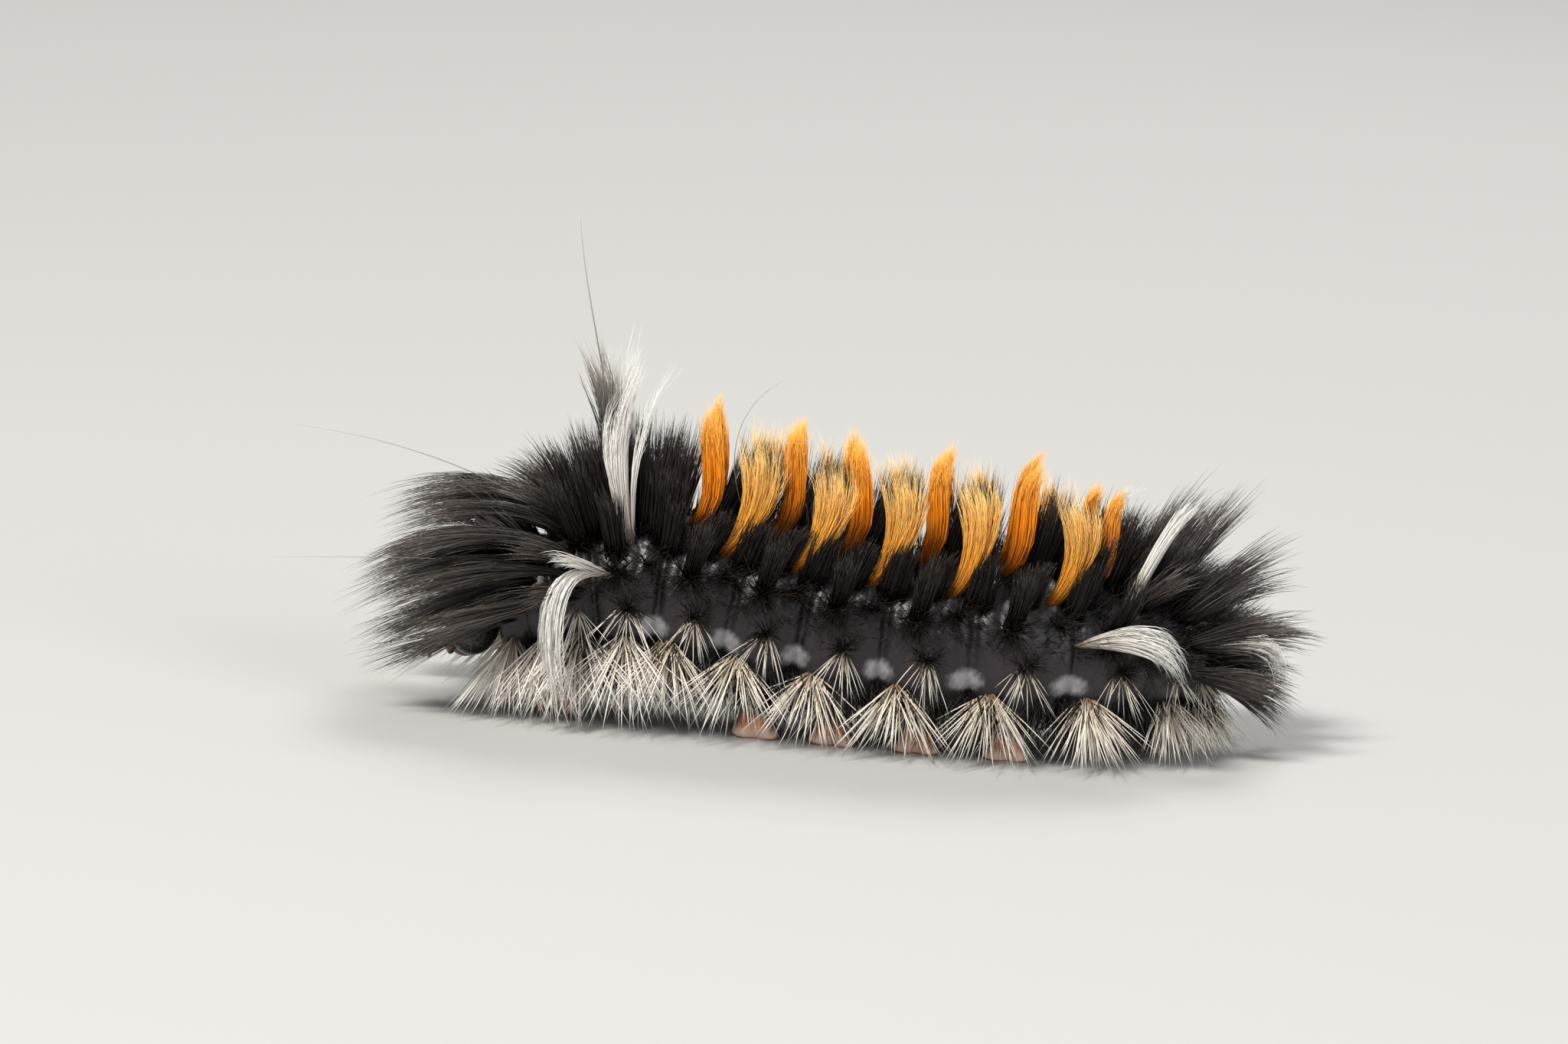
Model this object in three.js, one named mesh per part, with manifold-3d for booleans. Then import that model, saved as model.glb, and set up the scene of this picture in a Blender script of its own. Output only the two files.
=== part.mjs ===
// A milkweed tussock moth larva at life size, standing on a flat floor.
// Millimetres, +Z up. The head points to -X, the left side faces -Y, and the rear bends towards +Y.

import * as THREE from "three";
import Module from "manifold-3d";

const wasm = await Module();
wasm.setup();

// Gap between neighbouring pieces, and how finely the flesh is divided
const GAP = 0.3;
const LEG_GAP = 0.33;
const BODY_SIDES = 20;
const LEG_SIDES = 8;
const FOLD_DEPTH = 0.07;
const BELLY_FLATTENING = 0.93;
const FLOOR_CLEARANCE = 0.4;
const NECK = { length: 1.2, girth: 0.78 };
const REAR_END = { from: 0.3, span: 0.74 };

// Length along the body, width, height and height of the centre above the floor, for each segment
const SEGMENTS = [
  { name: "thorax_1", length: 1.15, width: 4.4, height: 4.4, centre: 4.2 },
  { name: "thorax_2", length: 1.3, width: 5.2, height: 5.2, centre: 4.8 },
  { name: "thorax_3", length: 1.6, width: 5.9, height: 5.9, centre: 5.3 },
  { name: "abdomen_1", length: 2.7, width: 6.5, height: 6.6, centre: 5.6 },
  { name: "abdomen_2", length: 3.1, width: 6.7, height: 6.8, centre: 5.5 },
  { name: "abdomen_3", length: 3.0, width: 6.8, height: 6.9, centre: 5.1 },
  { name: "abdomen_4", length: 3.5, width: 6.8, height: 6.9, centre: 4.75 },
  { name: "abdomen_5", length: 3.6, width: 6.8, height: 6.9, centre: 4.6 },
  { name: "abdomen_6", length: 3.6, width: 6.7, height: 6.8, centre: 4.6 },
  { name: "abdomen_7", length: 3.2, width: 6.3, height: 6.3, centre: 4.4 },
  { name: "abdomen_8", length: 2.5, width: 5.6, height: 5.6, centre: 4.0 },
  { name: "abdomen_9", length: 1.7, width: 4.6, height: 4.6, centre: 3.5 },
  { name: "abdomen_10", length: 1.7, width: 3.4, height: 3.4, centre: 2.9 },
];

// The body is straight in front and turns aside behind
const BEND_TOTAL = THREE.MathUtils.degToRad(52);
const BEND_START = 18;
const BEND_END = 31;
const FRONT_X = -11.7;

// Head
const HEAD_LOBE = { x: 1.15, y: 0.95, z: 1.38, aside: 0.48 };
const HEAD_CENTRE = new THREE.Vector3(-12.75, 0, 3.55);
const CLYPEUS = { x: 0.55, y: 0.5, z: 0.42, forward: 0.85, down: 0.72 };
const MANDIBLE = { x: 0.4, y: 0.32, z: 0.42, forward: 0.82, down: 1.1, aside: 0.3 };
const STEMMA = { radius: 0.13, bulge: 1.6, count: 5, firstTurn: -70, turnStep: 35 };
const STEMMA_RING = { forward: 0.62, x: 0.22, z: 0.3, down: 0.42, aside: 1.18 };
const ANTENNA = {
  radius: 0.2, taper: 0.45, aside: 0.84, forward: 1.36, down: 0.78,
  lean: { forward: 0.43, out: 0.25, down: 0.81 },
};
const NECK_CUTTER = { length: 6, side: 12 };

// Legs, with the angle on the body that each grows from, counted from the top of the back
const THORACIC_LEG = { place: 0.5, angle: 146, hipHeight: 0.5 };
const PROLEG = { angle: 152, root: 0.95, ankle: 0.66, foot: 0.98, footWidth: 0.62, aside: 1.5 };
const ANAL_PROLEG = { angle: 142, root: 0.8, ankle: 0.58, foot: 0.85, footWidth: 0.55, aside: 1.15 };
const PROLEG_PLACE = 0.5;
const PROLEG_ROOT_HEIGHT = 0.55;
const SOLE_HEIGHT = 0.28;

// From hip to claw: share of the way down, distance outward and forward, and half widths
const THORACIC_STATIONS = [
  { down: 0, aside: 0, forward: 0, rx: 0.48, ry: 0.6 },
  { down: 0.35, aside: 0.3, forward: 0.105, rx: 0.42, ry: 0.48 },
  { down: 0.62, aside: 0.34, forward: 0.315, rx: 0.336, ry: 0.378 },
  { down: 0.86, aside: 0.15, forward: 0.385, rx: 0.26, ry: 0.26 },
  { down: 1, aside: 0, forward: 0.49, rx: 0.2, ry: 0.2 },
];

const COLOURS = {
  coat: 0x1d1613,
  head: 0x0c0a0b,
  leg: 0xd98b62,
  foot: 0xe49a70,
};
const ROUGHNESS = { coat: 0.85, head: 0.25, antenna: 0.4, leg: 0.45, foot: 0.5 };

const starts = [];
let bodyLength = 0;
for (const segment of SEGMENTS) {
  starts.push(bodyLength);
  bodyLength += segment.length;
}

// A repeatable random source, so that each build gives the same coat
function seeded(seed) {
  let state = seed;
  return () => {
    state = (state + 0x6d2b79f5) | 0;
    let mixed = Math.imul(state ^ (state >>> 15), 1 | state);
    mixed = (mixed + Math.imul(mixed ^ (mixed >>> 7), 61 | mixed)) ^ mixed;
    return ((mixed ^ (mixed >>> 14)) >>> 0) / 4294967296;
  };
}

// A size of the body at a distance along it, on a smooth curve through the segments' middles
function sizeAt(key, s) {
  const middles = SEGMENTS.map((segment, i) => starts[i] + segment.length / 2);
  let i = 0;
  while (i < middles.length - 2 && s > middles[i + 1]) {
    i += 1;
  }
  const t = THREE.MathUtils.clamp((s - middles[i]) / (middles[i + 1] - middles[i]), -0.5, 1.5);
  const value = (k) => SEGMENTS[THREE.MathUtils.clamp(k, 0, SEGMENTS.length - 1)][key];
  const slopeIn = (value(i + 1) - value(i - 1)) / 2;
  const slopeOut = (value(i + 2) - value(i)) / 2;
  const rise = value(i + 1) - value(i);
  return value(i) + slopeIn * t + (3 * rise - 2 * slopeIn - slopeOut) * t * t
    + (slopeIn + slopeOut - 2 * rise) * t * t * t;
}

function yawAt(s) {
  return BEND_TOTAL * THREE.MathUtils.smoothstep(s, BEND_START, BEND_END);
}

// The centre line, walked in small steps from the front, and the spans that smooth its directions
const STEP = 0.05;
const END_SPAN = 0.5;
const FRAME_SPAN = 1.3;
const line = [new THREE.Vector2(FRONT_X, 0)];
for (let s = 0; s < bodyLength; s += STEP) {
  const yaw = yawAt(s + STEP / 2);
  const last = line[line.length - 1];
  line.push(new THREE.Vector2(last.x + Math.cos(yaw) * STEP, last.y + Math.sin(yaw) * STEP));
}

function centreAt(s) {
  const clamped = THREE.MathUtils.clamp(s, 0, bodyLength);
  const at = Math.min(clamped / STEP, line.length - 1.001);
  const low = Math.floor(at);
  const flat = line[low].clone().lerp(line[low + 1], at - low);
  const yaw = yawAt(clamped);
  const beyond = s - clamped;
  const inside = THREE.MathUtils.clamp(s, END_SPAN, bodyLength - END_SPAN);
  const slope = (sizeAt("centre", inside + END_SPAN) - sizeAt("centre", inside - END_SPAN))
    / (2 * END_SPAN);
  return new THREE.Vector3(
    flat.x + Math.cos(yaw) * beyond,
    flat.y + Math.sin(yaw) * beyond,
    sizeAt("centre", clamped) + slope * beyond,
  );
}

// The directions on the body at a distance along it: to the rear, to the left and up
function frameAt(s) {
  const back = centreAt(s + FRAME_SPAN).sub(centreAt(s - FRAME_SPAN)).normalize();
  const left = new THREE.Vector3().crossVectors(back, new THREE.Vector3(0, 0, 1)).normalize();
  const up = new THREE.Vector3().crossVectors(left, back);
  return { back, left, up };
}

function segmentAt(s) {
  let i = 0;
  while (i < SEGMENTS.length - 1 && s > starts[i + 1]) {
    i += 1;
  }
  return i;
}

// How far the skin draws in at the folds, at the neck and at the rear end
function drawIn(s) {
  const i = segmentAt(s);
  const u = THREE.MathUtils.clamp((s - starts[i]) / SEGMENTS[i].length, 0, 1);
  const fold = 1 - FOLD_DEPTH * (1 - Math.sqrt(Math.max(0, 4 * u * (1 - u))));
  const neck = NECK.girth + (1 - NECK.girth) * Math.sqrt(THREE.MathUtils.clamp(s / NECK.length, 0, 1));
  const beyond = i === SEGMENTS.length - 1 ? Math.max(0, u - REAR_END.from) : 0;
  const rear = Math.sqrt(1 - (beyond / REAR_END.span) ** 2);
  return fold * neck * rear;
}

// A point on the skin: the angle is counted from the top of the back, positive on the left
function skinPoint(s, angle, lift = 0) {
  const { left, up } = frameAt(s);
  const round = THREE.MathUtils.degToRad(angle);
  const shrink = drawIn(s);
  const belly = Math.cos(round) < 0 ? BELLY_FLATTENING : 1;
  return centreAt(s)
    .addScaledVector(left, Math.sin(round) * ((sizeAt("width", s) / 2) * shrink + lift))
    .addScaledVector(up, Math.cos(round) * ((sizeAt("height", s) / 2) * shrink * belly + lift));
}

// A closed solid from points and triangles, turned to face out
function solid(points, triangles) {
  let volume = 0;
  for (const [a, b, c] of triangles) {
    volume += points[a].dot(new THREE.Vector3().crossVectors(points[b], points[c]));
  }
  const outward = volume < 0 ? triangles.map(([a, b, c]) => [a, c, b]) : triangles;
  return new wasm.Manifold(new wasm.Mesh({
    numProp: 3,
    vertProperties: new Float32Array(points.flatMap((p) => [p.x, p.y, p.z])),
    triVerts: new Uint32Array(outward.flat()),
  }));
}

// A solid through rings of points, closed by a flat end or by a tip
function loft(rings, tip = null) {
  const sides = rings[0].length;
  const points = rings.flat();
  const triangles = [];
  for (let r = 0; r + 1 < rings.length; r += 1) {
    for (let k = 0; k < sides; k += 1) {
      const a = r * sides + k;
      const b = r * sides + ((k + 1) % sides);
      triangles.push([a, b, b + sides], [a, b + sides, a + sides]);
    }
  }
  for (let k = 1; k + 1 < sides; k += 1) {
    triangles.push([0, k + 1, k]);
  }
  const last = (rings.length - 1) * sides;
  if (tip) {
    points.push(tip);
    for (let k = 0; k < sides; k += 1) {
      triangles.push([last + k, last + ((k + 1) % sides), points.length - 1]);
    }
  } else {
    for (let k = 1; k + 1 < sides; k += 1) {
      triangles.push([last, last + k, last + k + 1]);
    }
  }
  return solid(points, triangles);
}

function bodyRing(s, lift, shift = 0) {
  const { back } = frameAt(s);
  const ring = [];
  for (let k = 0; k < BODY_SIDES; k += 1) {
    ring.push(skinPoint(s, (360 * k) / BODY_SIDES, lift).addScaledVector(back, shift));
  }
  return ring;
}

const RING_MARKS = [0, 0.22, 0.5, 0.78, 1];
const END_RING_MARKS = [0, 0.3, 0.55, 0.78, 0.92, 1];

function marksOf(i) {
  return i === SEGMENTS.length - 1 ? END_RING_MARKS : RING_MARKS;
}

// The flesh of one segment, with half a gap left open at each fold
function segmentFlesh(i) {
  const last = marksOf(i) === END_RING_MARKS;
  return loft(marksOf(i).map((u) => {
    const shift = (u === 0 && i > 0 ? GAP / 2 : 0) - (u === 1 && !last ? GAP / 2 : 0);
    return bodyRing(starts[i] + SEGMENTS[i].length * u, 0, shift);
  }));
}

// The whole body in one piece and a gap larger, which cuts the tops of the legs clear of it
function bodySleeve() {
  const rings = SEGMENTS.flatMap((segment, i) => marksOf(i)
    .filter((u) => u > 0 || i === 0)
    .map((u) => bodyRing(starts[i] + segment.length * u, LEG_GAP)));
  return loft(rings);
}

function joined(parts) {
  return parts.reduce((whole, part) => whole.add(part));
}

function largest(shape) {
  const pieces = shape.decompose();
  return pieces.reduce((best, piece) => (piece.volume() > best.volume() ? piece : best));
}

function meshFrom(name, shape, colour, roughness) {
  const data = largest(shape).getMesh();
  const geometry = new THREE.BufferGeometry();
  geometry.setAttribute("position", new THREE.BufferAttribute(data.vertProperties, 3));
  geometry.setIndex(new THREE.BufferAttribute(data.triVerts, 1));
  geometry.computeVertexNormals();
  const mesh = new THREE.Mesh(
    geometry,
    new THREE.MeshStandardMaterial({ color: colour, roughness }),
  );
  mesh.name = name;
  return mesh;
}

// An ellipsoid, made as rings from pole to pole
function ellipsoid(centre, radii, sides = 12, bands = 7) {
  const rings = [];
  for (let b = 1; b < bands; b += 1) {
    const polar = (Math.PI * b) / bands;
    const ring = [];
    for (let k = 0; k < sides; k += 1) {
      const turn = (2 * Math.PI * k) / sides;
      ring.push(new THREE.Vector3(
        centre.x + radii.x * Math.sin(polar) * Math.cos(turn),
        centre.y + radii.y * Math.sin(polar) * Math.sin(turn),
        centre.z + radii.z * Math.cos(polar),
      ));
    }
    rings.push(ring);
  }
  return loft(rings);
}

// A pointed or blunt limb of few sides through rings given as centre, half widths and tilt
function limb(stations, sides = LEG_SIDES) {
  const rings = stations.map(({ at, rx, ry }) => {
    const ring = [];
    for (let k = 0; k < sides; k += 1) {
      const turn = (2 * Math.PI * (k + 0.5)) / sides;
      ring.push(new THREE.Vector3(at.x + rx * Math.cos(turn), at.y + ry * Math.sin(turn), at.z));
    }
    return ring;
  });
  return loft(rings);
}

// How deep a lock's root is sunk, its thickness short of the tip, and its fullness along its length
const ROOT_DEPTH = 0.7;
const LOCK_THICKNESS = 0.58;
const EXTRA_THICKNESS = 0.25;
const LONG_LOCK_MARKS = [
  { t: 0, fullness: 0.6 },
  { t: 0.32, fullness: 0.8 },
  { t: 0.6, fullness: 1 },
  { t: 0.83, fullness: 0.72 },
];
const SHORT_LOCK_MARKS = [
  { t: 0, fullness: 0.7 },
  { t: 0.4, fullness: 0.9 },
  { t: 0.74, fullness: 0.95 },
];
const SHORT_LOCK = 4.2;

// A flat, tapered lock on a curve of four points; its root ring lies inside the flesh
function lock({ root, inward, headings, length, width, thickness, across, marks }) {
  const points = [root.clone().addScaledVector(inward, ROOT_DEPTH), root.clone()];
  for (const heading of headings) {
    points.push(points[points.length - 1].clone().addScaledVector(heading.normalize(), length / 3));
  }
  for (const point of points.slice(2)) {
    point.z = Math.max(point.z, FLOOR_CLEARANCE);
  }
  const curve = new THREE.CatmullRomCurve3(points, false, "centripetal");
  const rings = marks.map(({ t, fullness }) => {
    const along = curve.getTangent(t);
    const wide = across.clone().addScaledVector(along, -across.dot(along)).normalize();
    const thin = new THREE.Vector3().crossVectors(along, wide);
    const at = curve.getPoint(t);
    const halfWidth = (width / 2) * fullness;
    const halfThickness = (thickness / 2) * Math.min(1, fullness + EXTRA_THICKNESS);
    return [
      at.clone().addScaledVector(wide, halfWidth),
      at.clone().addScaledVector(thin, halfThickness),
      at.clone().addScaledVector(wide, -halfWidth),
      at.clone().addScaledVector(thin, -halfThickness),
    ];
  });
  return loft(rings, curve.getPoint(1));
}

// The kinds of tuft. place is the share of the segment's length and angle the place round the body.
// Each heading is [to the rear, outward, up]. The locks of one tuft stand rootStep apart along
// the body and turnStep apart round it, and each turns from the next by fan. A tuft grows on both
// sides unless sides says which.
const TUFTS = {
  orange: { place: 0.36, angle: 14, length: 4.9, width: 0.85, locks: 2, rootStep: 0.2, turnStep: 3,
    fan: [0.1, 0.04, 0], headings: [[0.3, 0.25, 1], [0.4, 0.05, 1], [0.1, 0, 1]] },
  golden: { place: 0.66, angle: 42, length: 5.7, width: 0.72, locks: 3, rootStep: 0.22, turnStep: 2,
    fan: [0.2, 0.06, 0], headings: [[0.35, 0.6, 1], [0.35, 0.25, 1], [0.02, 0.1, 1]] },
  brush: { place: 0.17, angle: 28, length: 4.1, width: 0.7, locks: 2, rootStep: 0, turnStep: 27,
    fan: [0, 0.1, 0], headings: [[0.1, 0.4, 1], [0.25, 0.2, 1], [0.2, 0.05, 1]] },
  star: { place: 0.36, angle: 68, length: 2.7, width: 0.9, locks: 1, rootStep: 0, turnStep: 0,
    fan: [0, 0, 0], headings: [[0, 1, 0.5], [0.05, 1, 0.8], [0.1, 0.8, 1]] },
  side: { place: 0.53, angle: 93, length: 2.1, width: 0.8, locks: 1, rootStep: 0, turnStep: 0,
    fan: [0, 0, 0], headings: [[0, 1, 0.2], [0.1, 1, 0], [0.1, 1, -0.2]] },
  fan: { place: 0.42, angle: 117, length: 3.4, width: 0.5, locks: 4, rootStep: 0.24, turnStep: 0,
    fan: [0.26, 0, 0], headings: [[0, 1, -0.35], [0, 0.7, -1], [0, 0.4, -1]] },
  fanShort: { place: 0.36, angle: 117, length: 3.3, width: 0.5, locks: 3, rootStep: 0.26, turnStep: 0,
    fan: [0.3, 0, 0], headings: [[0, 1, -0.35], [0, 0.7, -1], [0, 0.4, -1]] },
  whiteLash: { place: 0.56, angle: 43, length: 8.7, width: 0.75, locks: 3, rootStep: 0.24, turnStep: 1,
    fan: [0.07, 0.03, 0], headings: [[-0.05, 0.35, 1], [-0.1, 0.1, 1], [0.05, 0, 1]] },
  greyLash: { place: 0.24, angle: 20, length: 8.5, width: 0.75, locks: 2, rootStep: 0.25, turnStep: 2,
    fan: [0.1, 0.03, 0], headings: [[-0.05, 0.15, 1], [-0.25, 0.05, 1], [-0.25, 0, 1]] },
  brushFore: { place: 0.14, angle: 26, length: 4.5, width: 0.8, locks: 2, rootStep: 0, turnStep: 28,
    fan: [0, 0.1, 0], headings: [[-0.25, 0.4, 1], [-0.3, 0.2, 1], [-0.15, 0.05, 1]] },
  brushAft: { place: 0.8, angle: 26, length: 4.5, width: 0.6, locks: 2, rootStep: 0, turnStep: 28,
    fan: [0, 0.1, 0], headings: [[-0.05, 0.4, 1], [0, 0.2, 1], [0, 0.05, 1]] },
  longHair: { place: 0.3, angle: 14, length: 13.1, width: 0.34, thickness: 0.3, locks: 1, rootStep: 0,
    turnStep: 0, sides: [1], fan: [0, 0, 0],
    headings: [[-0.12, 0.02, 1], [-0.15, 0.02, 1], [-0.06, 0.02, 1]] },
  sideLash: { place: 0.46, angle: 70, length: 8.0, width: 0.8, locks: 2, rootStep: 0.3, turnStep: 0,
    fan: [0.2, 0, 0], headings: [[-0.65, 1, 0.15], [-0.6, 0.45, -1], [0, 0, -1]] },
  front: { place: 0.5, angle: 70, length: 6.2, width: 0.9, locks: 3, rootStep: 0, turnStep: 22,
    fan: [0, 0, -0.2], headings: [[-1, 0.6, 0.2], [-1, 0.25, -0.05], [-1, 0.1, -0.15]] },
  frontMid: { place: 0.5, angle: 58, length: 7.4, width: 0.95, locks: 3, rootStep: 0, turnStep: 24,
    fan: [0, 0, -0.1], headings: [[-0.55, 0.6, 0.9], [-1, 0.2, 0.2], [-1, 0.1, 0.1]] },
  frontHigh: { place: 0.45, angle: 42, length: 7.8, width: 1.0, locks: 4, rootStep: 0, turnStep: 22,
    fan: [0, 0, -0.15], headings: [[-0.5, 0.4, 1], [-1, 0.25, 0.5], [-1, 0.1, 0.35]] },
  fanFront: { place: 0.5, angle: 117, length: 3.2, width: 0.5, locks: 2, rootStep: 0.3, turnStep: 0,
    fan: [0.2, 0, 0], headings: [[-0.15, 1, -0.4], [-0.15, 0.7, -1], [-0.15, 0.35, -1]] },
  rearWhite: { place: 0.6, angle: 40, length: 5.6, width: 0.75, locks: 2, rootStep: 0.3, turnStep: 2,
    fan: [0.12, 0.05, 0], headings: [[0.3, 0.3, 1], [0.5, 0.1, 1], [0.7, 0, 0.8]] },
  rearSide: { place: 0.35, angle: 72, length: 5.5, width: 0.75, locks: 2, rootStep: 0, turnStep: 8,
    fan: [0, 0.1, -0.1], headings: [[0.2, 1, 0.1], [0.8, 0.8, -0.2], [1, 0.4, -0.4]] },
  rearHigh: { place: 0.5, angle: 32, length: 6.4, width: 0.8, locks: 2, rootStep: 0, turnStep: 26,
    fan: [0.05, 0.1, 0], headings: [[0.4, 0.3, 1], [0.7, 0.1, 1], [0.9, 0, 0.9]] },
  rearLow: { place: 0.5, angle: 82, length: 4.3, width: 0.75, locks: 1, rootStep: 0, turnStep: 20,
    fan: [0, 0, -0.1], headings: [[0.5, 1, 0.1], [0.9, 0.8, 0], [1, 0.5, 0]] },
  rearMid: { place: 0.5, angle: 40, length: 6.4, width: 0.8, locks: 2, rootStep: 0, turnStep: 32,
    fan: [0, 0.05, -0.1], headings: [[0.8, 0.5, 0.9], [1, 0.15, 0.5], [1, 0.05, 0.35]] },
  rearEnd: { place: 0.5, angle: 62, length: 5.2, width: 0.8, locks: 3, rootStep: 0, turnStep: 30,
    fan: [0, 0.05, -0.2], headings: [[1, 0.5, 0.3], [1, 0.2, 0], [1, 0.1, -0.15]] },
  fanRear: { place: 0.45, angle: 116, length: 2.9, width: 0.55, locks: 2, rootStep: 0.3, turnStep: 0,
    fan: [0.25, 0, 0], headings: [[0.15, 1, -0.4], [0.15, 0.7, -1], [0.15, 0.35, -1]] },
};

// Which tufts each segment carries, on both sides
const COAT = {
  thorax_1: ["front", "fanFront"],
  thorax_2: ["frontMid", "fanFront"],
  thorax_3: ["frontHigh", "fanFront"],
  abdomen_1: ["greyLash", "whiteLash", "brushFore", "brushAft", "longHair", "sideLash", "fanShort"],
  abdomen_7: ["orange", "rearWhite", "rearSide", "fanShort"],
  abdomen_8: ["rearHigh", "rearLow", "fanRear"],
  abdomen_9: ["rearMid", "fanRear"],
  abdomen_10: ["rearEnd"],
};
const RING_COAT = ["brush", "orange", "golden", "star", "side", "fan"];

// How much of a tuft's fan shows in each of its three headings, and the small chance turns
const FAN_GROWTH = [0.4, 1, 1.3];
const JITTER = 0.06;

// On the inside of the bend the tufts are closer together, so they fan less and stay shorter
const INNER_FAN = 0.55;
const INNER_LENGTH = 0.88;
const INNER_TURN = { least: 0.05, most: 0.2 };

// The locks of a tuft differ in length, and a tuft that lies along the body is flat against it
const LENGTH_RANGE = { least: 0.92, span: 0.16 };
const LYING_HEADING = 0.7;

// One tuft on one side of a segment
function tuft(i, kind, side, random) {
  const form = TUFTS[kind];
  const s = starts[i] + SEGMENTS[i].length * form.place;
  const crowding = side < 0 ? yawAt(s + 1) - yawAt(s - 1) : 0;
  const inner = THREE.MathUtils.smoothstep(crowding, INNER_TURN.least, INNER_TURN.most);
  const fanShare = THREE.MathUtils.lerp(1, INNER_FAN, inner);
  const lengthShare = THREE.MathUtils.lerp(1, INNER_LENGTH, inner);
  const locks = [];
  for (let k = 0; k < form.locks; k += 1) {
    const step = k - (form.locks - 1) / 2;
    const at = s + form.rootStep * step;
    const { back, left, up } = frameAt(at);
    const out = left.clone().multiplyScalar(side);
    const root = skinPoint(at, (form.angle + form.turnStep * step) * side);
    const headings = form.headings.map(([rear, outward, rise], h) => {
      const turn = step * fanShare * FAN_GROWTH[h];
      return new THREE.Vector3()
        .addScaledVector(back, rear + form.fan[0] * turn + JITTER * (random() - 0.5))
        .addScaledVector(out, outward + form.fan[1] * turn + JITTER * (random() - 0.5))
        .addScaledVector(up, rise + form.fan[2] * turn);
    });
    const lying = Math.abs(form.headings[1][0]) > LYING_HEADING;
    const around = new THREE.Vector3().crossVectors(back, root.clone().sub(centreAt(at)));
    locks.push(lock({
      root,
      inward: centreAt(at).sub(root).normalize(),
      headings,
      length: form.length * lengthShare * (LENGTH_RANGE.least + LENGTH_RANGE.span * random()),
      width: form.width,
      thickness: form.thickness ?? LOCK_THICKNESS,
      across: lying ? around : back,
      marks: form.length > SHORT_LOCK ? LONG_LOCK_MARKS : SHORT_LOCK_MARKS,
    }));
  }
  return locks;
}

function segmentMesh(i) {
  const { name } = SEGMENTS[i];
  const random = seeded(101 + i);
  const parts = [segmentFlesh(i)];
  for (const kind of COAT[name] ?? RING_COAT) {
    for (const side of TUFTS[kind].sides ?? [1, -1]) {
      parts.push(...tuft(i, kind, side, random));
    }
  }
  return meshFrom(name, joined(parts), COLOURS.coat, ROUGHNESS.coat);
}

// The head: two round lobes, the plate over the mouth, the jaws and simple eyes on each side
function headMesh() {
  const parts = [];
  for (const side of [1, -1]) {
    const lobe = HEAD_CENTRE.clone().add(new THREE.Vector3(0, -side * HEAD_LOBE.aside, 0));
    parts.push(ellipsoid(lobe, HEAD_LOBE));
    const jaw = HEAD_CENTRE.clone()
      .add(new THREE.Vector3(-MANDIBLE.forward, -side * MANDIBLE.aside, -MANDIBLE.down));
    parts.push(ellipsoid(jaw, MANDIBLE, 8, 5));
    for (let k = 0; k < STEMMA.count; k += 1) {
      const turn = THREE.MathUtils.degToRad(STEMMA.firstTurn + STEMMA.turnStep * k);
      const eye = HEAD_CENTRE.clone().add(new THREE.Vector3(
        -STEMMA_RING.forward - STEMMA_RING.x * Math.cos(turn),
        -side * STEMMA_RING.aside,
        -STEMMA_RING.down + STEMMA_RING.z * Math.sin(turn),
      ));
      const radii = { x: STEMMA.radius, y: STEMMA.radius * STEMMA.bulge, z: STEMMA.radius };
      parts.push(ellipsoid(eye, radii, 5, 3));
    }
  }
  const plate = HEAD_CENTRE.clone().add(new THREE.Vector3(-CLYPEUS.forward, 0, -CLYPEUS.down));
  parts.push(ellipsoid(plate, CLYPEUS, 10, 5));
  const neck = FRONT_X - GAP;
  const pitch = Math.asin(frameAt(0).back.z);
  const cutter = new THREE.BoxGeometry(NECK_CUTTER.length, NECK_CUTTER.side, NECK_CUTTER.side)
    .translate(NECK_CUTTER.length / 2, 0, 0)
    .rotateY(-pitch)
    .translate(neck, 0, HEAD_CENTRE.z);
  return meshFrom("head", joined(parts).subtract(boxSolid(cutter)), COLOURS.head, ROUGHNESS.head);
}

function boxSolid(geometry) {
  const position = geometry.getAttribute("position");
  const corners = [];
  const find = (p) => corners.findIndex((c) => c.distanceTo(p) < 1e-4);
  const numbers = [];
  for (let k = 0; k < position.count; k += 1) {
    const p = new THREE.Vector3().fromBufferAttribute(position, k);
    if (find(p) < 0) {
      corners.push(p);
    }
    numbers.push(find(p));
  }
  const triangles = [];
  for (let k = 0; k < geometry.index.count; k += 3) {
    triangles.push([0, 1, 2].map((c) => numbers[geometry.index.getX(k + c)]));
  }
  return solid(corners, triangles);
}

function antennaMesh(side) {
  const start = HEAD_CENTRE.clone()
    .add(new THREE.Vector3(-ANTENNA.forward, -side * ANTENNA.aside, -ANTENNA.down));
  const { forward, out, down } = ANTENNA.lean;
  const stations = [0, 0.5, 1].map((t) => ({
    at: start.clone().add(new THREE.Vector3(-forward * t, -side * out * t, -down * t)),
    rx: ANTENNA.radius * (1 - ANTENNA.taper * t),
    ry: ANTENNA.radius * (1 - ANTENNA.taper * t),
  }));
  const name = side > 0 ? "antenna_left" : "antenna_right";
  return meshFrom(name, limb(stations, 6), COLOURS.head, ROUGHNESS.antenna);
}

// A true leg: hip, knee and claw, ending in a small flat on the floor
function thoracicLegMesh(i, side) {
  const s = starts[i] + SEGMENTS[i].length * THORACIC_LEG.place;
  const { back, left } = frameAt(s);
  back.setZ(0).normalize();
  const out = left.clone().multiplyScalar(side);
  const root = skinPoint(s, THORACIC_LEG.angle * side);
  const hip = root.z + THORACIC_LEG.hipHeight;
  const shape = limb(THORACIC_STATIONS.map(({ down, aside, forward, rx, ry }) => ({
    at: new THREE.Vector3(root.x, root.y, hip * (1 - down))
      .addScaledVector(out, aside)
      .addScaledVector(back, -forward),
    rx,
    ry,
  })));
  const name = `thoracic_leg_${i + 1}_${side > 0 ? "left" : "right"}`;
  return meshFrom(name, shape.subtract(sleeve), COLOURS.leg, ROUGHNESS.leg);
}

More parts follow.
